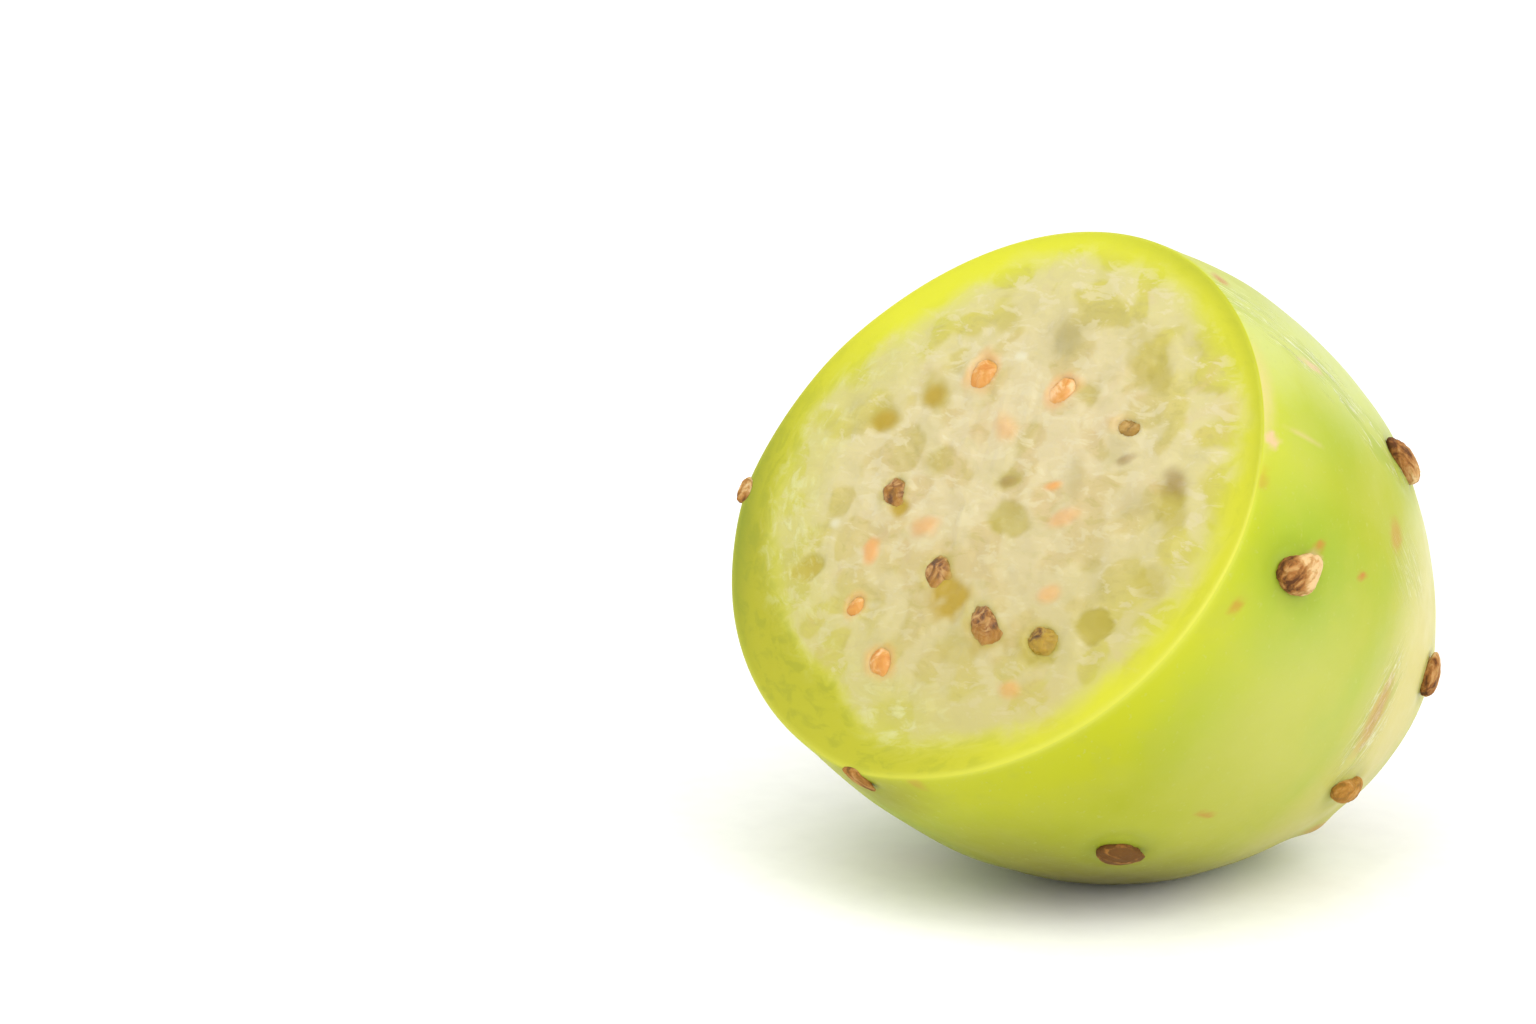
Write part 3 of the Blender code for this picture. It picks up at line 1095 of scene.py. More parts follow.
@dataclass(frozen=True)
class WetPulp(Finish):
    """Freshly cut peel and pulp: smooth yellow-green peel round pale, wet, fibrous pulp.

    Juice gives small soft glints. Air in the fibres makes the pulp creamy, clear wet cells between
    them look olive, and the pulp turns yellow towards the peel, into which it runs without a line.
    """

    name: str = "cut_prickly_pear_flesh"
    peel_lit: str = "#C6C61C"
    # Olive peel: partly its own greener tone, partly painted shade
    peel_olive_and_shade: str = "#9D9A0E"
    # The rind's own darker green, also painted shade on the left
    rind_and_shade_green: str = "#7C8610"
    peel_speck: str = "#848C12"
    # Painted highlight along the rim's edge
    lip: str = "#C2C23E"
    veil: str = "#B4B052"
    stroke: str = "#C6C692"
    tint: str = "#B5B33A"
    outer: str = "#B7AE52"
    middle: str = "#B9AA70"
    core: str = "#BCAA7A"
    fibre: str = "#C8BE98"
    clear: str = "#A69A52"
    flush: str = "#BEA376"
    sac_olive: str = "#A29430"
    sac_amber: str = "#A28606"
    sac_grey: str = "#9E925E"
    seed_orange: str = "#CE8E44"
    seed_brown: str = "#7A5C20"
    # White of fibre knots, and of painted glints
    knot_and_glint: str = "#CCC7A8"
    patches: Noise = Noise(6.0, 4.0, distortion=0.6)
    wisps: Noise = Noise(1.4, 4.0, 0.6, 0.5)
    wisp_scale: tuple[float, float, float] = (0.5, 1.0, 1.0)
    streaks: Noise = Noise(1.2, 4.0, 0.6, 0.5)
    streak_scale: tuple[float, float, float] = (0.4, 0.4, 1.0)
    cell_mm: float = 3.4
    # How far the patches' noise bends the cells, and moves the edge of the peel
    bend_mm: float = 5.0
    stray_mm: float = 4.0
    # The way from the pulp by the peel to the pulp at the core, in mm
    inward: Rise = Rise(1.0, 17.0)
    # How strongly each shows, by its noise
    clear_patch: Rise = Rise(0.50, 0.34, 0.5)
    clear_wisp: Rise = Rise(0.46, 0.37, 0.4)
    flush_patch: Rise = Rise(0.56, 0.68, 0.35)
    fibre_cell: Rise = Rise(0.32, 0.48, 0.5)
    fibre_wisp: Rise = Rise(0.53, 0.62, 0.55)
    stroke_shown: Rise = Rise(0.48, 0.70, 0.6)
    speck_shown: Rise = Rise(0.52, 0.36, 0.45)
    veil_shown: Rise = Rise(0.0, 1.0, 0.5)
    wisp_relief: Relief = Relief(0.07, 0.7)
    cell_relief: Relief = Relief(0.06, 0.7)
    stroke_relief: Relief = Relief(0.1, 0.7)
    fixed: dict[str, Any] = field(
        default_factory=lambda: {
            "Roughness": 0.4,
            "IOR": 1.36,
            "Subsurface Weight": 0.5,
            "Subsurface Radius": (1.0, 0.9, 0.45),
            "Subsurface Scale": 0.7 * MM,
            "Coat Weight": 0.2,
            "Coat Roughness": 0.15,
        }
    )

    def pattern(self, tree: Tree) -> dict[str, Socket]:
        """Adds the colours of peel and pulp, and the relief of cells and grain.

        Args:
            tree: The node tree.

        Returns:
            The outputs of the colour and the normal.
        """
        where = add_node(tree, "ShaderNodeTexCoord").outputs["Object"]
        patch = add_node(tree, "ShaderNodeTexNoise", self.patches.feeds(where, METRE_IN_MM))
        warped = add_node(
            tree,
            "ShaderNodeVectorMath",
            {0: patch.outputs["Color"], 1: (self.bend_mm * MM,) * 3, 2: where},
            operation="MULTIPLY_ADD",
        ).outputs["Vector"]
        cells = add_node(
            tree,
            "ShaderNodeTexVoronoi",
            {"Vector": warped, "Scale": METRE_IN_MM / self.cell_mm, "Smoothness": 1.0},
            feature="SMOOTH_F1",
        ).outputs["Distance"]
        edge, shaded, veiled = (
            add_node(tree, "ShaderNodeAttribute", attribute_name=name).outputs["Fac"]
            for name in ("edge", "shaded", "veil")
        )
        uneven = add_node(
            tree,
            "ShaderNodeMath",
            {0: patch.outputs["Fac"], 1: self.stray_mm, 2: edge},
            operation="MULTIPLY_ADD",
        ).outputs["Value"]
        wisps = drawn_out(tree, where, self.wisp_scale, self.wisps, METRE_IN_MM)
        wrap = add_node(tree, "ShaderNodeAttribute", attribute_name="wrap").outputs["Vector"]
        streaks = drawn_out(tree, wrap, self.streak_scale, self.streaks)
        strokes, specks, film = (
            add_node(
                tree, "ShaderNodeMapRange", rise.feeds(value), interpolation_type="SMOOTHSTEP"
            ).outputs["Result"]
            for value, rise in (
                (streaks, self.stroke_shown),
                (streaks, self.speck_shown),
                (veiled, self.veil_shown),
            )
        )
        peel = self.peel_share(tree, uneven)
        # olive: where the peel is olive, partly its own tone and partly painted shade
        olive, streaked = (
            add_node(
                tree, "ShaderNodeMath", {0: one, 1: other}, operation="MULTIPLY"
            ).outputs["Value"]
            for one, other in ((shaded, peel), (veiled, strokes))
        )
        specked = add_node(
            tree, "ShaderNodeMath", {0: olive, 1: specks}, operation="MULTIPLY"
        ).outputs["Value"]
        layers = [
            (peel, self.peel_lit),
            # Olive peel, partly painted shade
            (olive, self.peel_olive_and_shade),
            (specked, self.peel_speck),
            # The rind's darker strip, partly painted shade
            ("rind", self.rind_and_shade_green),
            (film, self.veil),
            (streaked, self.stroke),
            # Painted highlight along the rim's edge
            ("lip", self.lip),
        ]
        reliefs = [
            (wisps, self.wisp_relief),
            (cells, self.cell_relief),
            (streaked, self.stroke_relief),
        ]
        pulp = self.pulp_colour(tree, uneven, patch.outputs["Fac"], cells, wisps)
        return {"Base Color": layered(tree, pulp, layers), "Normal": embossed(tree, reliefs)}

    def pulp_colour(
        self, tree: Tree, uneven: Socket, patch: Socket, cells: Socket, wisps: Socket
    ) -> Socket:
        """The pulp: yellow by the peel and cream further in, with fibres, clear cells and sacs.

        Args:
            tree: The node tree.
            uneven: Distance in from the peel in mm, plus about 2.
            patch: Broad noise.
            cells: Smooth cells, high on the walls between them.
            wisps: Noise drawn out into wisps.

        Returns:
            The colour's output.
        """
        inward = add_node(
            tree, "ShaderNodeMapRange", self.inward.feeds(uneven)
        ).outputs["Result"]
        ground = add_node(
            tree,
            "ShaderNodeValToRGB",
            {"Fac": inward},
            stops=[
                (0.0, self.tint),
                (0.25, self.outer),
                (0.6, self.middle),
                (1.0, self.core),
            ],
        ).outputs["Color"]
        clear_patch, clear_wisp, flush, fibre_cell, fibre_wisp = (
            add_node(
                tree, "ShaderNodeMapRange", rise.feeds(value), interpolation_type="SMOOTHSTEP"
            ).outputs["Result"]
            for value, rise in (
                (patch, self.clear_patch),
                (wisps, self.clear_wisp),
                (patch, self.flush_patch),
                (cells, self.fibre_cell),
                (wisps, self.fibre_wisp),
            )
        )
        layers = [
            (clear_patch, self.clear),
            (clear_wisp, self.clear),
            (flush, self.flush),
            (fibre_cell, self.fibre),
            (fibre_wisp, self.fibre),
            # Painted shade: clearer, darker flesh towards the lower right of the face
            ("painted_low_shade", self.clear),
            (Tone.OLIVE.value, self.sac_olive),
            (Tone.AMBER.value, self.sac_amber),
            (Tone.GREY.value, self.sac_grey),
            (Tone.ORANGE.value, self.seed_orange),
            (Tone.BROWN.value, self.seed_brown),
            # White spots: knots of fibre, and painted glints
            (Tone.WHITE.value, self.knot_and_glint),
        ]
        return layered(tree, ground, layers)

    def peel_share(self, tree: Tree, uneven: Socket) -> Socket:
        """How far a place is peel and not pulp, from 0 to 1, with a soft uneven edge.

        Args:
            tree: The node tree.
            uneven: Distance in from the peel in mm, plus about 2.

        Returns:
            The share's output.
        """
        blur = add_node(tree, "ShaderNodeAttribute", attribute_name="blur").outputs["Fac"]
        inner, outer = (
            add_node(
                tree,
                "ShaderNodeMath",
                {0: blur, 1: side, 2: Noise.MIDDLE * self.stray_mm},
                operation="MULTIPLY_ADD",
            ).outputs["Value"]
            for side in (1.0, -1.0)
        )
        return add_node(
            tree,
            "ShaderNodeMapRange",
            {"Value": uneven, "From Min": inner, "From Max": outer},
            interpolation_type="SMOOTHSTEP",
        ).outputs["Result"]


@dataclass(frozen=True)
class CorkyAreole(Finish):
    """Dry corky felt of an areole: brown in the hollows, beige where it is rubbed pale and where
    light is painted on the side that faces the light, with no gloss.
    """

    name: str = "areole_cork"
    dark: str = "#54300F"
    middle: str = "#93602A"
    # Beige of rubbed felt, and of painted light on the side that faces the light
    worn_and_lit: str = "#B88E56"
    palest: str = "#D0AE7C"
    gold: str = "#B5862A"
    # Real felt is far finer, and is drawn this coarse to show
    grain: Noise = Noise(0.8, 5.0, 0.6, 0.3)
    fibre_scale: tuple[float, float, float] = (0.4, 1.0, 1.0)
    # How light the felt is by its grain, before the pale side, rubbed felt with painted light, is
    # added
    lightness: Rise = Rise(0.37, 0.66, 0.7)
    relief: Relief = Relief(0.35, 0.9)
    fixed: dict[str, Any] = field(
        default_factory=lambda: {
            "Roughness": 0.75,
            "Specular IOR Level": 0.25,
            "Subsurface Weight": 0.1,
            "Subsurface Scale": 0.4 * MM,
        }
    )

    def pattern(self, tree: Tree) -> dict[str, Socket]:
        """Adds fibres that run towards the areole's point, and a pale patch beside it: rubbed felt,
        and painted light on the side that faces the light.

        Args:
            tree: The node tree.

        Returns:
            The outputs of the colour and the normal.
        """
        fibre = add_node(tree, "ShaderNodeAttribute", attribute_name="fibre").outputs["Vector"]
        worn_and_lit = add_node(tree, "ShaderNodeAttribute", attribute_name="worn_and_lit").outputs["Fac"]
        grain = drawn_out(tree, fibre, self.fibre_scale, self.grain)
        light = add_node(
            tree, "ShaderNodeMapRange", self.lightness.feeds(grain)
        ).outputs["Result"]
        # Adds the pale side: rubbed felt, and painted light
        tone = add_node(
            tree, "ShaderNodeMath", {0: light, 1: worn_and_lit}, operation="ADD"
        ).outputs["Value"]
        colour = add_node(
            tree,
            "ShaderNodeValToRGB",
            {"Fac": tone},
            stops=[
                (0.10, self.dark),
                (0.42, self.middle),
                (0.78, self.worn_and_lit),
                (1.0, self.palest),
            ],
        ).outputs["Color"]
        return {
            "Base Color": layered(tree, colour, [("golden", self.gold)]),
            "Normal": embossed(tree, [(grain, self.relief)]),
        }


@dataclass(frozen=True)
class SeedCoat(Finish):
    """A seed's hard coat in the wet pulp, mottled, with a wet film that gives sharp glints."""

    name: str
    dark: str
    middle: str
    light: str
    ripe: str
    buried: str
    grain: Noise = Noise(0.9, 4.0, 0.6, 0.8)
    relief: Relief = Relief(0.25, 0.8)
    ripeness: float = 0.75
    fixed: dict[str, Any] = field(
        default_factory=lambda: {
            "Roughness": 0.45,
            "Specular IOR Level": 0.3,
            "Coat Weight": 0.15,
            "Coat Roughness": 0.12,
            "Subsurface Weight": 0.25,
            "Subsurface Radius": (1.0, 0.6, 0.3),
            "Subsurface Scale": 0.8 * MM,
        }
    )

    def pattern(self, tree: Tree) -> dict[str, Socket]:
        """Adds the coat's mottling, its riper side, and the pulp's colour where it sinks in.

        Args:
            tree: The node tree.

        Returns:
            The outputs of the colour and the normal.
        """
        where = add_node(tree, "ShaderNodeTexCoord").outputs["Object"]
        grain = add_node(
            tree, "ShaderNodeTexNoise", self.grain.feeds(where, METRE_IN_MM)
        ).outputs["Fac"]
        colour = add_node(
            tree,
            "ShaderNodeValToRGB",
            {"Fac": grain},
            stops=[(0.38, self.dark), (0.48, self.middle), (0.62, self.light)],
        ).outputs["Color"]
        ripe = add_node(tree, "ShaderNodeAttribute", attribute_name="ripe").outputs["Fac"]
        ripened = add_node(
            tree, "ShaderNodeMath", {0: ripe, 1: self.ripeness}, operation="MULTIPLY"
        ).outputs["Value"]
        return {
            "Base Color": layered(tree, colour, [(ripened, self.ripe), ("buried", self.buried)]),
            "Normal": embossed(tree, [(grain, self.relief)]),
        }


@dataclass(frozen=True)
class StudioPaper(Finish):
    """Matt white background paper, with a faint fibre that breaks up its plain white."""

    name: str = "white_paper_matt"
    white: str = "#FAFAF9"
    shade: str = "#F6F6F5"
    # Real fibre is far finer, and is drawn this coarse to show
    fibre: Noise = Noise(3.0, 3.0)
    fixed: dict[str, Any] = field(default_factory=lambda: {"Roughness": 0.9})

    def pattern(self, tree: Tree) -> dict[str, Socket]:
        """Adds the fibre's faint shades.

        Args:
            tree: The node tree.

        Returns:
            The output of the colour.
        """
        where = add_node(tree, "ShaderNodeTexCoord").outputs["Object"]
        fibre = add_node(
            tree, "ShaderNodeTexNoise", self.fibre.feeds(where, METRE_IN_MM)
        ).outputs["Fac"]
        colour = add_node(
            tree,
            "ShaderNodeValToRGB",
            {"Fac": fibre},
            stops=[(0.3, self.white), (0.7, self.shade)],
        ).outputs["Color"]
        return {"Base Color": colour}


@dataclass
class HalfFruit:
    """The half's skin, lip and cut face as one closed surface.

    Its rings run from the crown's middle over the skin to the rim, round the lip, and in over the
    cut to its middle.
    """

    form: FruitForm
    around: int = 400
    skin_rings: int = 152
    lip_rings: int = 7
    cut_rings: int = 86
    lip_radius: float = 0.4 * MM
    # A face is flesh from here on, in mm over the rim
    flesh_start: float = -0.1
    # Over how many mm from the rim the relief comes in, on the skin and on the cut
    skin_start: tuple[float, float] = (0.3, 3.0)
    cut_start: tuple[float, float] = (0.5, 1.4)
    # How far creases lean off the fruit's length, in radians a mm
    crease_twist: float = 0.018
    # The skin's broad ripples: height and wavelength in mm
    unevenness: float = 0.11
    ripple_length: float = 15.0
    # The dent, and the darker painted shade round an areole: sizes in mm, and that shade's strength
    dent_depth: float = 0.2
    dent_radius: float = 2.7
    dent_width: float = 0.8
    areole_shade_strength: float = 0.45
    areole_shade_radius: float = 3.4
    # A knob on the skin: reach in mm, degrees, height in mm and radius in mm
    knob: tuple[float, float, float, float] = (40.6, 80.5, 0.5, 1.8)
    # The crown in mm: its reach and radius, its rough scar's fading edge, and the folds round it
    crown_reach: float = 30.0
    crown_radius: float = 14.0
    scar_edge: tuple[float, float] = (5.0, 10.0)
    scar_stray: float = 1.5
    scar_strength: float = 0.85
    scar_depth: float = 0.25
    fold_count: int = 17
    fold_depth: float = 0.22
    fold_radius: float = 8.5
    fold_width: float = 3.0
    # The pulp in mm: how proud it stands, its tufts, and how low its peel and its clear sacs lie
    mound: float = 0.2
    mound_edge: tuple[float, float] = (-1.0, 5.0)
    tuft_height: float = 0.08
    tuft_size: float = 5.0
    peel_depth: float = 0.04
    sac_depth: float = 0.2
    # Seeds in it: heights in mm, and where on the way to a seed's edge they fade
    veiled_height: float = 0.2
    veiled_edge: tuple[float, float] = (0.2, 1.3)
    collar_height: float = 0.1
    collar_reach: float = 1.05
    collar_width: float = 0.3
    pit_depth: float = 0.4
    pit_edge: tuple[float, float] = (0.5, 0.85)
    # The clear ring round a bare seed: its strength, and where on the way to the edge it fades
    ring_share: float = 0.5
    ring_edge: tuple[float, float] = (0.7, 1.5)
    # How uneven the edges of seeds and sacs are, as a share of their size
    wobble: float = 0.09
    # The peel's inner edge: half its width in mm, and the headings where it is wider, by how much
    blur: float = 1.1
    blurred: tuple[tuple[float, float], ...] = ((-15.0, 1.1), (100.0, 0.9))
    # Over how many mm in from the peel's edge the veil comes in and goes again
    veil_start: tuple[float, float] = (-2.5, 1.0)
    veil_end: tuple[float, float] = (2.0, 8.0)
    # Painted shade, in the clear flesh's colour, makes the lower right clearer and darker: its
    # strength, over which heights on the face in mm, and how far those lean to the right
    low_shade_strength: float = 0.4
    low_shade_rise: tuple[float, float] = (8.0, -24.0)
    low_shade_lean: float = 0.3
    # The lip's painted highlight line and the rind's strip, which is partly painted shade, in mm
    # over the rim: the line's place, and each one's width where it is faintest, with what its full
    # strength adds to that
    lip_highlight_place: float = 0.1
    lip_highlight_width: tuple[float, float] = (0.18, 0.34)
    rind_width: tuple[float, float] = (0.6, 1.4)
    # By degrees on the face, from the right anticlockwise: the peel's width in mm
    peel_widths: tuple[tuple[float, float], ...] = (
        (-152, 4.6),
        (-104, 6.2),
        (-78, 3.5),
        (-58, 3.1),
        (-42, 3.1),
        (-30, 2.7),
        (-13, 3.1),
        (20, 2.5),
        (57, 2.5),
        (90, 2.4),
        (125, 4.2),
        (145, 4.4),
        (162, 3.0),
        (180, 4.3),
    )
    # How far the peel is olive, not yellow, from 0 to 1: partly its own greener tone, partly
    # painted shade
    peel_olive_and_painted_shade: tuple[tuple[float, float], ...] = (
        (-160, 1.0),
        (-125, 0.9),
        (-76, 0.7),
        (-60, 0.5),
        (-50, 0.25),
        (-30, 0.1),
        (-8, 0.25),
        (60, 0.25),
        (90, 0.0),
        (137, 0.0),
        (169, 0.6),
    )
    # How far whitish fibres of the pulp reach over the peel's inner side
    veils: tuple[tuple[float, float], ...] = (
        (-160, 1.0),
        (-130, 0.5),
        (-100, 0.25),
        (-80, 1.0),
        (-60, 0.2),
        (-30, 0.0),
        (110, 0.1),
        (150, 0.6),
    )
    # How bright and wide the painted highlight on the lip's edge is
    lip_highlights: tuple[tuple[float, float], ...] = (
        (-130, 0.35),
        (-80, 0.6),
        (-50, 0.95),
        (-10, 0.95),
        (10, 0.4),
        (25, 0.0),
        (110, 0.0),
        (150, 0.35),
    )
    # And how far the peel's outermost strip is the rind's own darker green, which on the left side
    # is also painted shade
    rinds_and_shade: tuple[tuple[float, float], ...] = (
        (-165, 1.0),
        (-155, 0.9),
        (-140, 0.6),
        (-120, 0.1),
        (-80, 0.0),
        (0, 0.0),
        (20, 0.3),
        (70, 0.4),
        (95, 0.2),
        (115, 0.1),
        (150, 0.1),
        (168, 0.4),
        (180, 0.7),
    )

    def rings(self) -> tuple[Array, Array]:
        """Works out the rings and their distance over the rim.

        The lip is a parabola from the skin to the cut: the rim plus (1-u)^2 r along the skin plus
        u^2 r along the cut.

        Returns:
            The rings in the fruit's frame, and the distance of each point from the rim in mm,
            below zero on the skin.
        """
        form = self.form
        angle = np.linspace(0.0, 2.0 * math.pi, self.around, endpoint=False)
        rim_turn = form.rim_turn(angle)
        rim = form.skin(rim_turn, angle)
        step = 1e-3
        speed = np.linalg.norm(form.skin(rim_turn + step, angle) - rim, axis=-1) / step
        start = rim_turn + self.lip_radius / speed
        along_skin = unit(form.skin(start, angle) - rim)
        along_cut = unit(-rim)
        share = np.linspace(0.0, 1.0, self.skin_rings + 1)[1:, None]
        turn = 0.5 * math.pi + share * (start - 0.5 * math.pi)
        skin = form.skin(turn, np.broadcast_to(angle, turn.shape))
        u = np.linspace(0.0, 1.0, self.lip_rings + 2)[1:-1, None, None]
        lip = rim + self.lip_radius * ((1 - u) ** 2 * along_skin + u**2 * along_cut)
        inset = 1.0 - self.lip_radius / np.linalg.norm(rim, axis=-1)
        scale = inset * np.linspace(1.0, 0.0, self.cut_rings, endpoint=False)[:, None]
        cut = rim * scale[..., None]
        stack = np.concatenate([skin, lip, cut])
        down = np.linalg.norm(np.diff(skin, axis=0), axis=-1)
        back = np.cumsum(down[::-1], axis=0)[::-1]
        on_skin = -np.concatenate([back, np.zeros((1, self.around))]) - self.lip_radius
        on_lip = (2.0 * u[..., 0] - 1.0) * self.lip_radius + 0.0 * angle
        on_cut = np.linalg.norm(rim, axis=-1) * (1.0 - scale)
        return stack, np.concatenate([on_skin, on_lip, on_cut]) / MM

    def build(self, skin: bpy.types.Material, flesh: bpy.types.Material) -> bpy.types.Object:
        """Makes the half's object.

        Args:
            skin: The material of the skin.
            flesh: The material of the cut.

        Returns:
            The object.
        """
        rings, across = self.rings()
        columns = np.roll(rings, -1, axis=1) - np.roll(rings, 1, axis=1)
        normals = unit(np.cross(np.gradient(rings, axis=0), columns))
        axes = self.form.cut_axes()
        places = rings @ axes[:2].T / MM
        on_cut = across > self.lip_radius / MM
        values = self.cut_values(places, across) | self.skin_values(rings, across)
        height = np.where(
            on_cut, self.cut_relief(places, across, values), self.skin_relief(rings, across, values)
        )
        heading = np.where(on_cut[..., None], axes[2], normals)
        shaped = self.form.to_part(rings + heading * (height * MM)[..., None])
        shaped[..., 2] = np.maximum(shaped[..., 2], 0.0)
        surface = Surface.from_rings(shaped, shaped[0].mean(axis=0), shaped[-1].mean(axis=0))
        for name, value in values.items():
            ends = np.stack([value[0].mean(axis=0), value[-1].mean(axis=0)])
            surface.values[name] = np.concatenate([value.reshape(-1, *value.shape[2:]), ends])
        made = surface.to_object("fruit_half", [skin, flesh])
        slots = np.concatenate([
            np.repeat(across[:-1].mean(axis=1) > self.flesh_start, self.around),
            np.repeat([False, True], self.around),
        ])
        made.data.polygons.foreach_set("material_index", slots.astype(np.int32))
        return made

    def cut_values(self, places: Array, across: Array) -> dict[str, Array]:
        """Works out what the flesh's material reads at each point.

        Args:
            places: Places on the cut, in mm.
            across: Distance over the rim, in mm.

        Returns:
            A value for each point under each name.
        """
        degrees = np.degrees(np.arctan2(places[..., 1], places[..., 0]))
        widths, shades, veils, lip_highlights, rinds_and_shade = (
            np.interp(degrees, *zip(*table), period=360)
            for table in (self.peel_widths, self.peel_olive_and_painted_shade, self.veils, self.lip_highlights, self.rinds_and_shade)
        )
        edge = across - widths
        softer = sum(
            wider * smooth(0.2, 1.0, np.cos(np.radians(degrees - heading)))
            for heading, wider in self.blurred
        )
        slope = places[..., 1] - self.low_shade_lean * places[..., 0]
        lip_highlight_width, rind_width = (
            least + more * strength
            for (least, more), strength in ((self.lip_highlight_width, lip_highlights), (self.rind_width, rinds_and_shade))
        )
        values = {
            "across": across,
            "edge": edge,
            "blur": self.blur + softer,
            # How far the peel is olive: partly its own tone, partly painted shade
            "shaded": shades,
            "veil": veils * smooth(*self.veil_start, edge) * (1.0 - smooth(*self.veil_end, edge)),
            # Painted shade towards the lower right of the face
            "painted_low_shade": self.low_shade_strength * smooth(*self.low_shade_rise, slope),
            # Painted highlight along the rim's edge
            "lip": lip_highlights * np.exp(-(((across - self.lip_highlight_place) / lip_highlight_width) ** 2)),
            # The rind's darker strip, partly painted shade
            "rind": rinds_and_shade * np.exp(-((np.maximum(across, 0.0) / rind_width) ** 2)),
        }
        wobble = self.wobble * Ripples(3.0, seed=31, octaves=2)(places)
        values |= {tone.value: np.zeros(across.shape) for tone in Tone}
        for shown in SACS + VEILED_SEEDS:
            mask = shown.strength * inside(shown.reach(places) + wobble, shown.softness)
            mask = np.where(across > 0.0, mask, 0.0)
            values[shown.tone.value] = np.maximum(values[shown.tone.value], mask)
        for seed in BARE_SEEDS:
            tone = Tone.ORANGE if seed.tone is Tone.ORANGE else Tone.OLIVE
            ring = 1.0 - smooth(*self.ring_edge, seed.reach(places) + wobble)
            ring *= self.ring_share * seed.strength
            values[tone.value] = np.maximum(values[tone.value], ring)
        return values

    def skin_values(self, rings: Array, across: Array) -> dict[str, Array]:
        """Works out what the skin's material reads: marks, painted shade round the areoles, the
        crown's scar.

        Args:
            rings: Points in the fruit's frame.
            across: Distance over the rim, in mm.

        Returns:
            A value for each point under each name.
        """
        angle = np.arctan2(rings[..., 1], rings[..., 0]) + self.crease_twist * across
        radius = self.form.egg_radius / MM
        wrap = np.stack([radius * np.cos(angle), radius * np.sin(angle), across], axis=-1)
        wobble = Ripples(1.3, seed=41, octaves=2)(rings / MM)
        masks = {blemish.value: np.zeros(across.shape) for blemish in Blemish}
        for mark in SKIN_MARKS:
            mask = mark.mask(self.form, rings, wobble)
            masks[mark.blemish.value] = np.maximum(masks[mark.blemish.value], mask)
        # Painted shade round each areole, fading with distance
        areole_shades = [
            np.exp(-((self.form.away(rings, place) / (self.areole_shade_radius * place.share)) ** 2))
            for place in self.form.areoles()
        ]
        masks["painted_areole_shade"] = self.areole_shade_strength * np.max(areole_shades, axis=0)
        from_axis = np.hypot(rings[..., 0], rings[..., 1]) / MM
        stray = self.scar_stray * Ripples(5.0, seed=43, octaves=3)(rings / MM)
        crowned = self.scar_strength * (1.0 - smooth(*self.scar_edge, from_axis + stray))
        masks["crown"] = np.where(rings[..., 2] > self.crown_reach * MM, crowned, 0.0)
        return {"wrap": wrap} | {
            name: np.where(across < 0.0, mask, 0.0) for name, mask in masks.items()
        }

    def skin_relief(self, rings: Array, across: Array, values: dict[str, Array]) -> Array:
        """The skin's relief, in mm, below the solid's skin.

        It has broad ripples, a dent round each areole, a knob, folds that run into the crown, and
        the crown's rough scar. A fold's height is cos(17u + 1.5 sin 3u) at the angle u.

        Args:
            rings: Points in the fruit's frame.
            across: Distance over the rim, in mm.
            values: The values at each point.

        Returns:
            Heights in mm along the normals.
        """
        points = rings / MM
        ripples = Ripples(self.ripple_length, seed=51, octaves=2)(points)
        height = self.unevenness * (0.5 * ripples - 1.0)
        for place in self.form.areoles():
            off = self.form.away(rings, place) - self.dent_radius * place.share
            height -= self.dent_depth * np.exp(-((off / self.dent_width) ** 2))
        reach, degrees, knob, width = self.knob
        away = self.form.away(rings, self.form.place(reach, degrees))
        height += knob * np.exp(-((away / width) ** 2))
        radius = np.hypot(points[..., 0], points[..., 1])
        angle = np.arctan2(points[..., 1], points[..., 0])
        folds = np.cos(self.fold_count * angle + 1.5 * np.sin(3 * angle))
        folds *= np.exp(-(((radius - self.fold_radius) / self.fold_width) ** 2))
        crowned = (points[..., 2] > self.crown_reach) & (radius < self.crown_radius)
        height += self.fold_depth * np.where(crowned, folds - 1.0, 0.0)
        scar = Ripples(1.6, seed=61, octaves=3)(points) - 1.0
        height += values["crown"] * self.scar_depth * scar
        return height * smooth(*self.skin_start, -across)

    def cut_relief(self, places: Array, across: Array, values: dict[str, Array]) -> Array:
        """The cut's relief, in mm: pulp a little proud of the peel, fibres, hollow sacs and seeds.

        Args:
            places: Places on the cut, in mm.
            across: Distance over the rim, in mm.
            values: The values at each point.

        Returns:
            Heights in mm out of the cut.
        """
        pulp = smooth(*self.mound_edge, values["edge"])
        tufts = self.tuft_height * Ripples(self.tuft_size, seed=71, octaves=3)(places)
        height = pulp * (self.mound + tufts) - self.peel_depth
        clear = np.maximum(values[Tone.OLIVE.value], values[Tone.AMBER.value])
        height -= self.sac_depth * clear * pulp
        for seed in VEILED_SEEDS:
            height += self.veiled_height * (1.0 - smooth(*self.veiled_edge, seed.reach(places)))
        for seed in BARE_SEEDS:
            reach = seed.reach(places)
            off = (reach - self.collar_reach) / self.collar_width
            pit = self.pit_depth * (1.0 - smooth(*self.pit_edge, reach))
            height += self.collar_height * np.exp(-(off**2)) - pit
        return height * smooth(*self.cut_start, across)


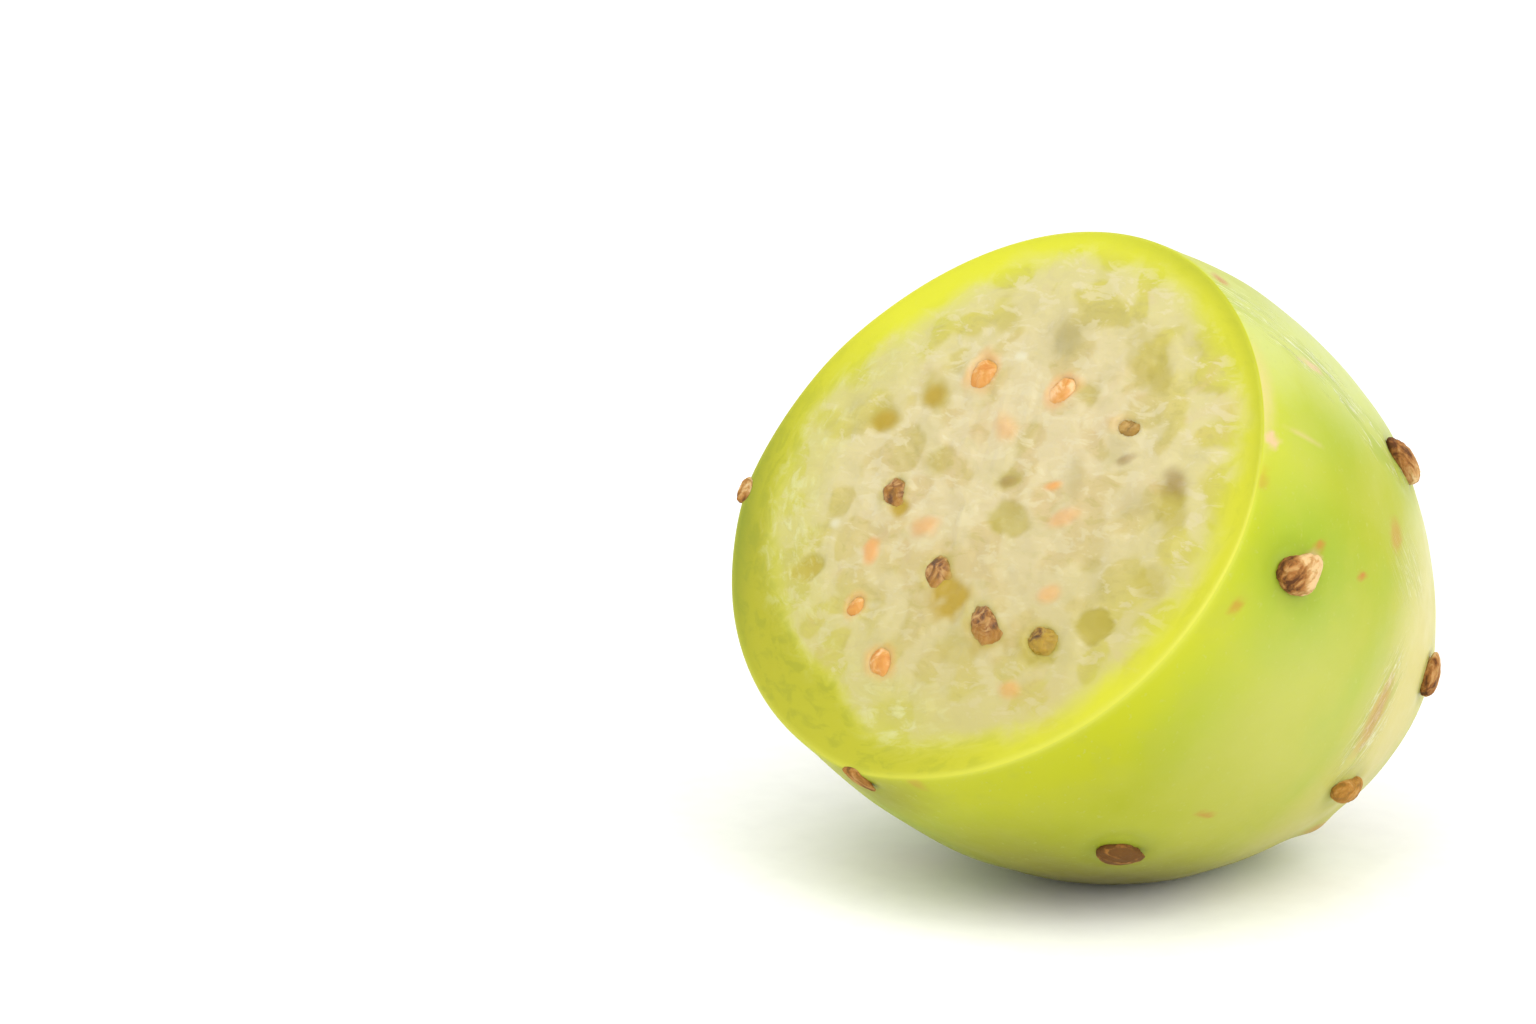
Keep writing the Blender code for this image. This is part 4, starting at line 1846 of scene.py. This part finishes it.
@dataclass(frozen=True)
class Bud:
    """How an areole departs from the plain one.

    Attributes:
        tip: Its point's heading, in degrees from the crown's side.
        long: Its share of the plain length, which runs towards the crown.
        wide: Its share of the plain width.
        high: Its share of the plain height.
        worn_and_lit: How pale its pale side is, up to 1, or how dark where it is below 0: rubbed
            felt, and painted light and shade by which side faces the light.
        side: The pale side's heading, in degrees from the crown's side.
        golden: How far it is golden and not brown, from 0 to 1.
        turn: How far its length is turned from the crown's side, in degrees.
        drawn: How far its point is drawn out, as a share of the plain point.
    """

    tip: float
    long: float = 1.0
    wide: float = 1.0
    high: float = 1.0
    worn_and_lit: float = 0.45
    side: float = 40.0
    golden: float = 0.0
    turn: float = 0.0
    drawn: float = 1.0


@dataclass
class Areoles:
    """The woody cushions in rows round the fruit, each a flattened, lumpy, pointed bud."""

    form: FruitForm
    length: float = 4.2 * MM
    width: float = 3.4 * MM
    height: float = 1.38 * MM
    around: int = 56
    rings: int = 30
    # Lumps: their size in mm, their depth as a share of the areole's size, and their first seed
    lumps_mm: float = 1.5
    lump_share: float = 0.035
    lump_seed: int = 300
    # The power of the sine that flattens the bun, and how far its low point is drawn out, as a
    # share of its size, over what angle in radians
    flatness: float = 0.8
    point: float = 0.38
    point_angle: float = 0.5
    # The poles' height as a share of the bun's, and the middle's as a share of the swelling's
    pole_share: float = 0.95
    lifted: float = 0.9
    # Where the pale side starts and is pale in full, across the bun, and how pale the top is:
    # rubbed felt, and painted light on the side and top that face the light
    worn_and_lit_edge: tuple[float, float] = (-0.6, 0.4)
    worn_and_lit_top: float = 0.4
    # How far one areole's pattern of fibres lies from the next one's, in mm
    fibre_step: float = 10.0
    # How far a hidden one's point is turned from that of the one before, in degrees
    hidden_turn: float = 137.5
    # Those in sight
    buds: tuple[Bud, ...] = (
        Bud(58, 1.03, 1.0, 0.96, 0.62, 15, drawn=1.9),
        Bud(-10, 1.0, 0.95, 0.65, -0.3, 90, 0.1, 22),
        Bud(180, 1.3, 0.9, 0.85, 0.45, 0),
        Bud(50, 1.3, 0.9, 1.0, 0.12, 60, 0.4),
        Bud(0, 1.3, 1.1, 0.5, 0.1, 90, 0.2, 15),
        Bud(200, 1.35, 1.35, 0.96, 0.5, -110, 0.1),
        Bud(90, 1.0, 1.45, 0.85, 0.6, 20),
    )

    def one(self, place: Place, index: int) -> Surface:
        """Works out one areole: an oval bun with a low point, lumps and fibres.

        With the polar angle v and the angle u round it, a bun is cos(v) out of the skin and
        sin(v)^0.8 along it, and the point draws its foot out by exp(-(u/0.5)^2) sin(v)^3. The
        fibres' coordinates run along the point, in mm.

        Args:
            place: Where it stands.
            index: Its number, which seeds its lumps.

        Returns:
            Its surface in the part's frame.
        """
        v, u = globe(self.rings, self.around)
        bud = self.buds[index] if index < len(self.buds) else Bud(self.hidden_turn * index)
        tip = math.radians(bud.tip)
        off = np.angle(np.exp(1j * (u - tip))) / self.point_angle
        drawn = 1.0 + self.point * bud.drawn * np.exp(-(off**2)) * np.sin(v) ** 3
        flat = np.sin(v) ** self.flatness * drawn
        shape = np.stack([flat * np.cos(u), flat * np.sin(u), np.cos(v) + 0.0 * u], axis=-1)
        plain = np.array([self.length / 2, self.width / 2, self.height])
        size = place.share * plain * (bud.long, bud.wide, bud.high)
        noise = Ripples(self.lumps_mm * MM, self.lump_seed + index, octaves=3)(shape * size)
        local = shape * size * (1.0 - self.lump_share * np.abs(noise)[..., None])
        top = np.array([0.0, 0.0, self.pole_share * size[2]])
        poles = np.stack([top, -top])
        along, around, outward = self.form.axes_at(place)
        turn = math.radians(bud.turn)
        forth = along * math.cos(turn) + around * math.sin(turn)
        axes = np.stack([forth, np.cross(outward, forth), outward])
        lift = self.form.swelling_height * place.share * self.lifted
        centre = self.form.centre(place) + axes[2] * lift
        ends = self.form.to_part(centre + poles @ axes)
        surface = Surface.from_rings(self.form.to_part(centre + local @ axes), ends[0], ends[1])
        cosine, sine = math.cos(tip), math.sin(tip)
        lengthwise = local[..., 0] * cosine + local[..., 1] * sine
        crosswise = local[..., 1] * cosine - local[..., 0] * sine
        fibre = np.stack([lengthwise, crosswise, local[..., 2]], axis=-1).reshape(-1, 3)
        fibre = np.concatenate([fibre, poles]) / MM + self.fibre_step * index
        # The pale side: rubbed felt, and painted light on the side and top that face the light
        worn_and_lit = np.cos(u - math.radians(bud.side)) * flat
        worn_and_lit = bud.worn_and_lit * smooth(*self.worn_and_lit_edge, worn_and_lit).ravel()
        surface.values["fibre"] = fibre
        surface.values["worn_and_lit"] = np.concatenate([worn_and_lit, [self.worn_and_lit_top * bud.worn_and_lit, 0.0]])
        surface.values["golden"] = np.full(len(surface.points), bud.golden)
        return surface

    def build(self, cork: bpy.types.Material) -> bpy.types.Object:
        """Makes all areoles as one object, with those on the rim cut flush.

        Args:
            cork: Their material.

        Returns:
            The object.
        """
        places = enumerate(self.form.areoles())
        surface = Surface.joined([self.one(place, index) for index, place in places])
        normal = self.form.turned() @ self.form.cut_axes()[2]
        over = np.maximum((surface.points - self.form.to_part(np.zeros(3))) @ normal, 0.0)
        surface.points -= over[:, None] * normal
        return surface.to_object("areoles", [cork])


@dataclass
class Seeds:
    """The seeds that lie bare on the cut face, sunk in the pulp, merged by colour."""

    form: FruitForm
    around: int = 40
    rings: int = 24
    # A seed's thickness and how proud of the face it stands, in mm, and the least share of that
    thickness: float = 1.9
    proud: float = 0.45
    least_proud: float = 0.35
    # Its form: the power of the sine that flattens it, how much narrower its one end is, and
    # how far it swells past its size in length, width and thickness
    flatness: float = 0.9
    egg: float = 0.12
    swell: tuple[float, float, float] = (1.08, 1.08, 0.93)
    # Lumps: their size in mm, their height as a share of the seed's size, and their first seed
    lumps_mm: float = 1.5
    lump_seed: int = 500
    lump_shares: dict[Tone, float] = field(
        default_factory=lambda: {Tone.BROWN: 0.06, Tone.OLIVE: 0.06, Tone.ORANGE: 0.035}
    )
    # How far pulp covers the coat: of a seed that shows weakly, and of any seed near its foot
    film: float = 0.6
    sinking: float = 0.6
    sinking_edge: tuple[float, float] = (0.62, 0.88)
    sinking_stray: float = 0.12
    # The darker cap's heading on the face, its fading edge in half widths, and how uneven it is
    cap_heading: tuple[float, float] = (0.5, -0.87)
    cap_edge: tuple[float, float] = (-0.6, 0.5)
    cap_stray: float = 0.3
    # How far the darker cap reaches down the face over a seed, in half widths
    caps: dict[Tone, float] = field(
        default_factory=lambda: {Tone.BROWN: 0.4, Tone.OLIVE: -0.35, Tone.ORANGE: 0.2}
    )

    def one(self, seed: Inclusion, index: int) -> Surface:
        """Works out one seed: a lumpy, slightly flattened egg.

        Args:
            seed: The seed.
            index: Its number, which seeds its lumps.

        Returns:
            Its surface in the part's frame.
        """
        v, u = globe(self.rings, self.around)
        flat = np.sin(v) ** self.flatness * (1.0 - self.egg * np.cos(u))
        shape = np.stack([flat * np.cos(u), flat * np.sin(u), np.cos(v) + 0.0 * u], axis=-1)
        size = np.array([seed.length / 2, seed.width / 2, self.thickness / 2]) * MM
        noise = Ripples(self.lumps_mm * MM, self.lump_seed + index, octaves=3)(shape * size)
        size = size * self.swell
        local = shape * size * (1.0 + self.lump_shares[seed.tone] * noise[..., None])
        poles = np.array([[0.0, 0.0, 1.0], [0.0, 0.0, -1.0]]) * size
        cosine, sine = math.cos(math.radians(seed.degrees)), math.sin(math.radians(seed.degrees))
        turned = np.array([[cosine, sine, 0.0], [-sine, cosine, 0.0], [0.0, 0.0, 1.0]])
        proud = self.proud * (self.least_proud + (1.0 - self.least_proud) * seed.strength)
        centre = np.array([seed.right, seed.up, proud - self.thickness / 2]) * MM
        axes = self.form.cut_axes()
        placed = self.form.to_part((local @ turned + centre) @ axes)
        ends = self.form.to_part((poles @ turned + centre) @ axes)
        surface = Surface.from_rings(placed, ends[0], ends[1])
        fade = (1.0 - seed.strength) * self.film
        sinking = smooth(*self.sinking_edge, np.sin(v)) * self.sinking
        sinking = np.clip(sinking + self.sinking_stray * noise * sinking, 0.0, 1.0)
        buried = fade + (1.0 - fade) * sinking
        surface.values["buried"] = np.concatenate([buried.ravel(), [fade, 1.0]])
        toward = (local @ turned)[..., :2] @ self.cap_heading / (MM * 0.5 * seed.width)
        toward = toward - self.caps[seed.tone] + self.cap_stray * noise
        ripe = smooth(*self.cap_edge, toward)
        surface.values["ripe"] = np.concatenate([ripe.ravel(), [0.5, 0.5]])
        return surface

    def build(self, tone: Tone, coat: bpy.types.Material) -> bpy.types.Object:
        """Makes the seeds of a tone as one object, in their coat's material."""
        parts = [self.one(seed, i) for i, seed in enumerate(BARE_SEEDS) if seed.tone is tone]
        return Surface.joined(parts).to_object(f"seeds_{tone.value}", [coat])


@dataclass(frozen=True)
class Lamp:
    """A square soft light that looks at the fruit from a heading, in degrees, metres and watts."""

    name: str
    azimuth: float
    elevation: float
    distance: float
    size: float
    watts: float


@dataclass
class Studio:
    """A white paper floor, a white room with soft lights, and the camera."""

    form: FruitForm
    azimuth: float = 44.8
    elevation: float = 14.0
    distance: float = 384.0 * MM
    # The cut's middle, to the right of the picture's middle and over it, at the fruit
    framing: tuple[float, float] = (17.9 * MM, 0.7 * MM)
    lens: float = 100.0
    floor_size: float = 4.0
    room: float = 1.0
    sensor_width: float = 36.0
    # The nearest and furthest that the camera sees, in metres
    clip: tuple[float, float] = (0.01, 20.0)
    # What the lamps look at
    lit: tuple[float, float, float] = (0.0, 0.0, 30.0 * MM)
    lamps: tuple[Lamp, ...] = (
        Lamp("window", 90.0, 37.0, 0.9, 0.7, 4.6),
        Lamp("fill", 5.0, 58.0, 0.9, 0.7, 3.0),
    )

    def floor(self, paper: bpy.types.Material) -> None:
        """Lays the floor under the fruit.

        Args:
            paper: Its material.
        """
        half = self.floor_size / 2
        corners = [(-half, -half, 0.0), (half, -half, 0.0), (half, half, 0.0), (-half, half, 0.0)]
        mesh = bpy.data.meshes.new("floor")
        mesh.from_pydata(corners, [], [(0, 1, 2, 3)])
        mesh.materials.append(paper)
        made = bpy.data.objects.new("floor", mesh)
        bpy.context.scene.collection.objects.link(made)

    def stand(self, made: bpy.types.Object, axes: tuple[Array, Array, Array], at: Array) -> None:
        """Stands a camera or a light at a place.

        Args:
            made: The camera or light.
            axes: Its right, up and back.
            at: The place.
        """
        turned = Matrix(np.stack(axes, axis=1).tolist()).to_4x4()
        made.matrix_world = Matrix.Translation(at.tolist()) @ turned
        bpy.context.scene.collection.objects.link(made)

    def camera(self) -> None:
        """Sets up the camera at the photo's viewing angle and framing."""
        right, up, back = heading_axes(self.azimuth, self.elevation)
        middle = self.form.to_part(np.zeros(3))
        at = middle + back * self.distance - right * self.framing[0] - up * self.framing[1]
        lens = bpy.data.cameras.new("camera")
        lens.lens, lens.sensor_width = self.lens, self.sensor_width
        lens.clip_start, lens.clip_end = self.clip
        made = bpy.data.objects.new("camera", lens)
        self.stand(made, (right, up, back), at)
        bpy.context.scene.camera = made

    def lights(self) -> None:
        """Lights the room evenly in white and hangs the lamps."""
        world = bpy.data.worlds.new("white_room")
        world.use_nodes = True
        background = world.node_tree.nodes["Background"]
        background.inputs["Color"].default_value = (1.0, 1.0, 1.0, 1.0)
        background.inputs["Strength"].default_value = self.room
        bpy.context.scene.world = world
        for lamp in self.lamps:
            light = bpy.data.lights.new(lamp.name, "AREA")
            light.energy, light.size, light.shape = lamp.watts, lamp.size, "SQUARE"
            axes = heading_axes(lamp.azimuth, lamp.elevation)
            at = axes[2] * lamp.distance + np.array(self.lit)
            self.stand(bpy.data.objects.new(lamp.name, light), axes, at)
        bpy.context.scene.view_settings.view_transform = "Standard"


BROWN_COAT = SeedCoat("seed_coat_brown", "#58381A", "#86561F", "#B48C54", "#986814", "#A89040")
OLIVE_COAT = SeedCoat("seed_coat_olive", "#4A300E", "#7A5618", "#A68838", "#A4841A", "#A68E30")
ORANGE_COAT = SeedCoat(
    "seed_aril_orange",
    "#C07C30",
    "#C88E42",
    "#DDB480",
    "#C48638",
    "#C4A04C",
    Noise(1.4, 4.0, 0.6, 0.8),
    Relief(0.15, 0.8),
)


def main() -> None:
    """Builds each piece in order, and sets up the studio."""
    logging.basicConfig(level=logging.INFO, format="%(message)s")
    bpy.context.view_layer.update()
    form = FruitForm()
    fruit = HalfFruit(form).build(WaxySkin().build(), WetPulp().build())
    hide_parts(NODE)
    seeds = Seeds(form)
    pieces = [
        fruit,
        Areoles(form).build(CorkyAreole().build()),
        seeds.build(Tone.BROWN, BROWN_COAT.build()),
        seeds.build(Tone.OLIVE, OLIVE_COAT.build()),
        seeds.build(Tone.ORANGE, ORANGE_COAT.build()),
    ]
    for piece in pieces:
        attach(piece, "root")
        log.info("%s: %d faces", piece.name, len(piece.data.polygons))
    studio = Studio(form)
    studio.floor(StudioPaper().build())
    studio.camera()
    studio.lights()


if __name__ == "__main__":
    main()
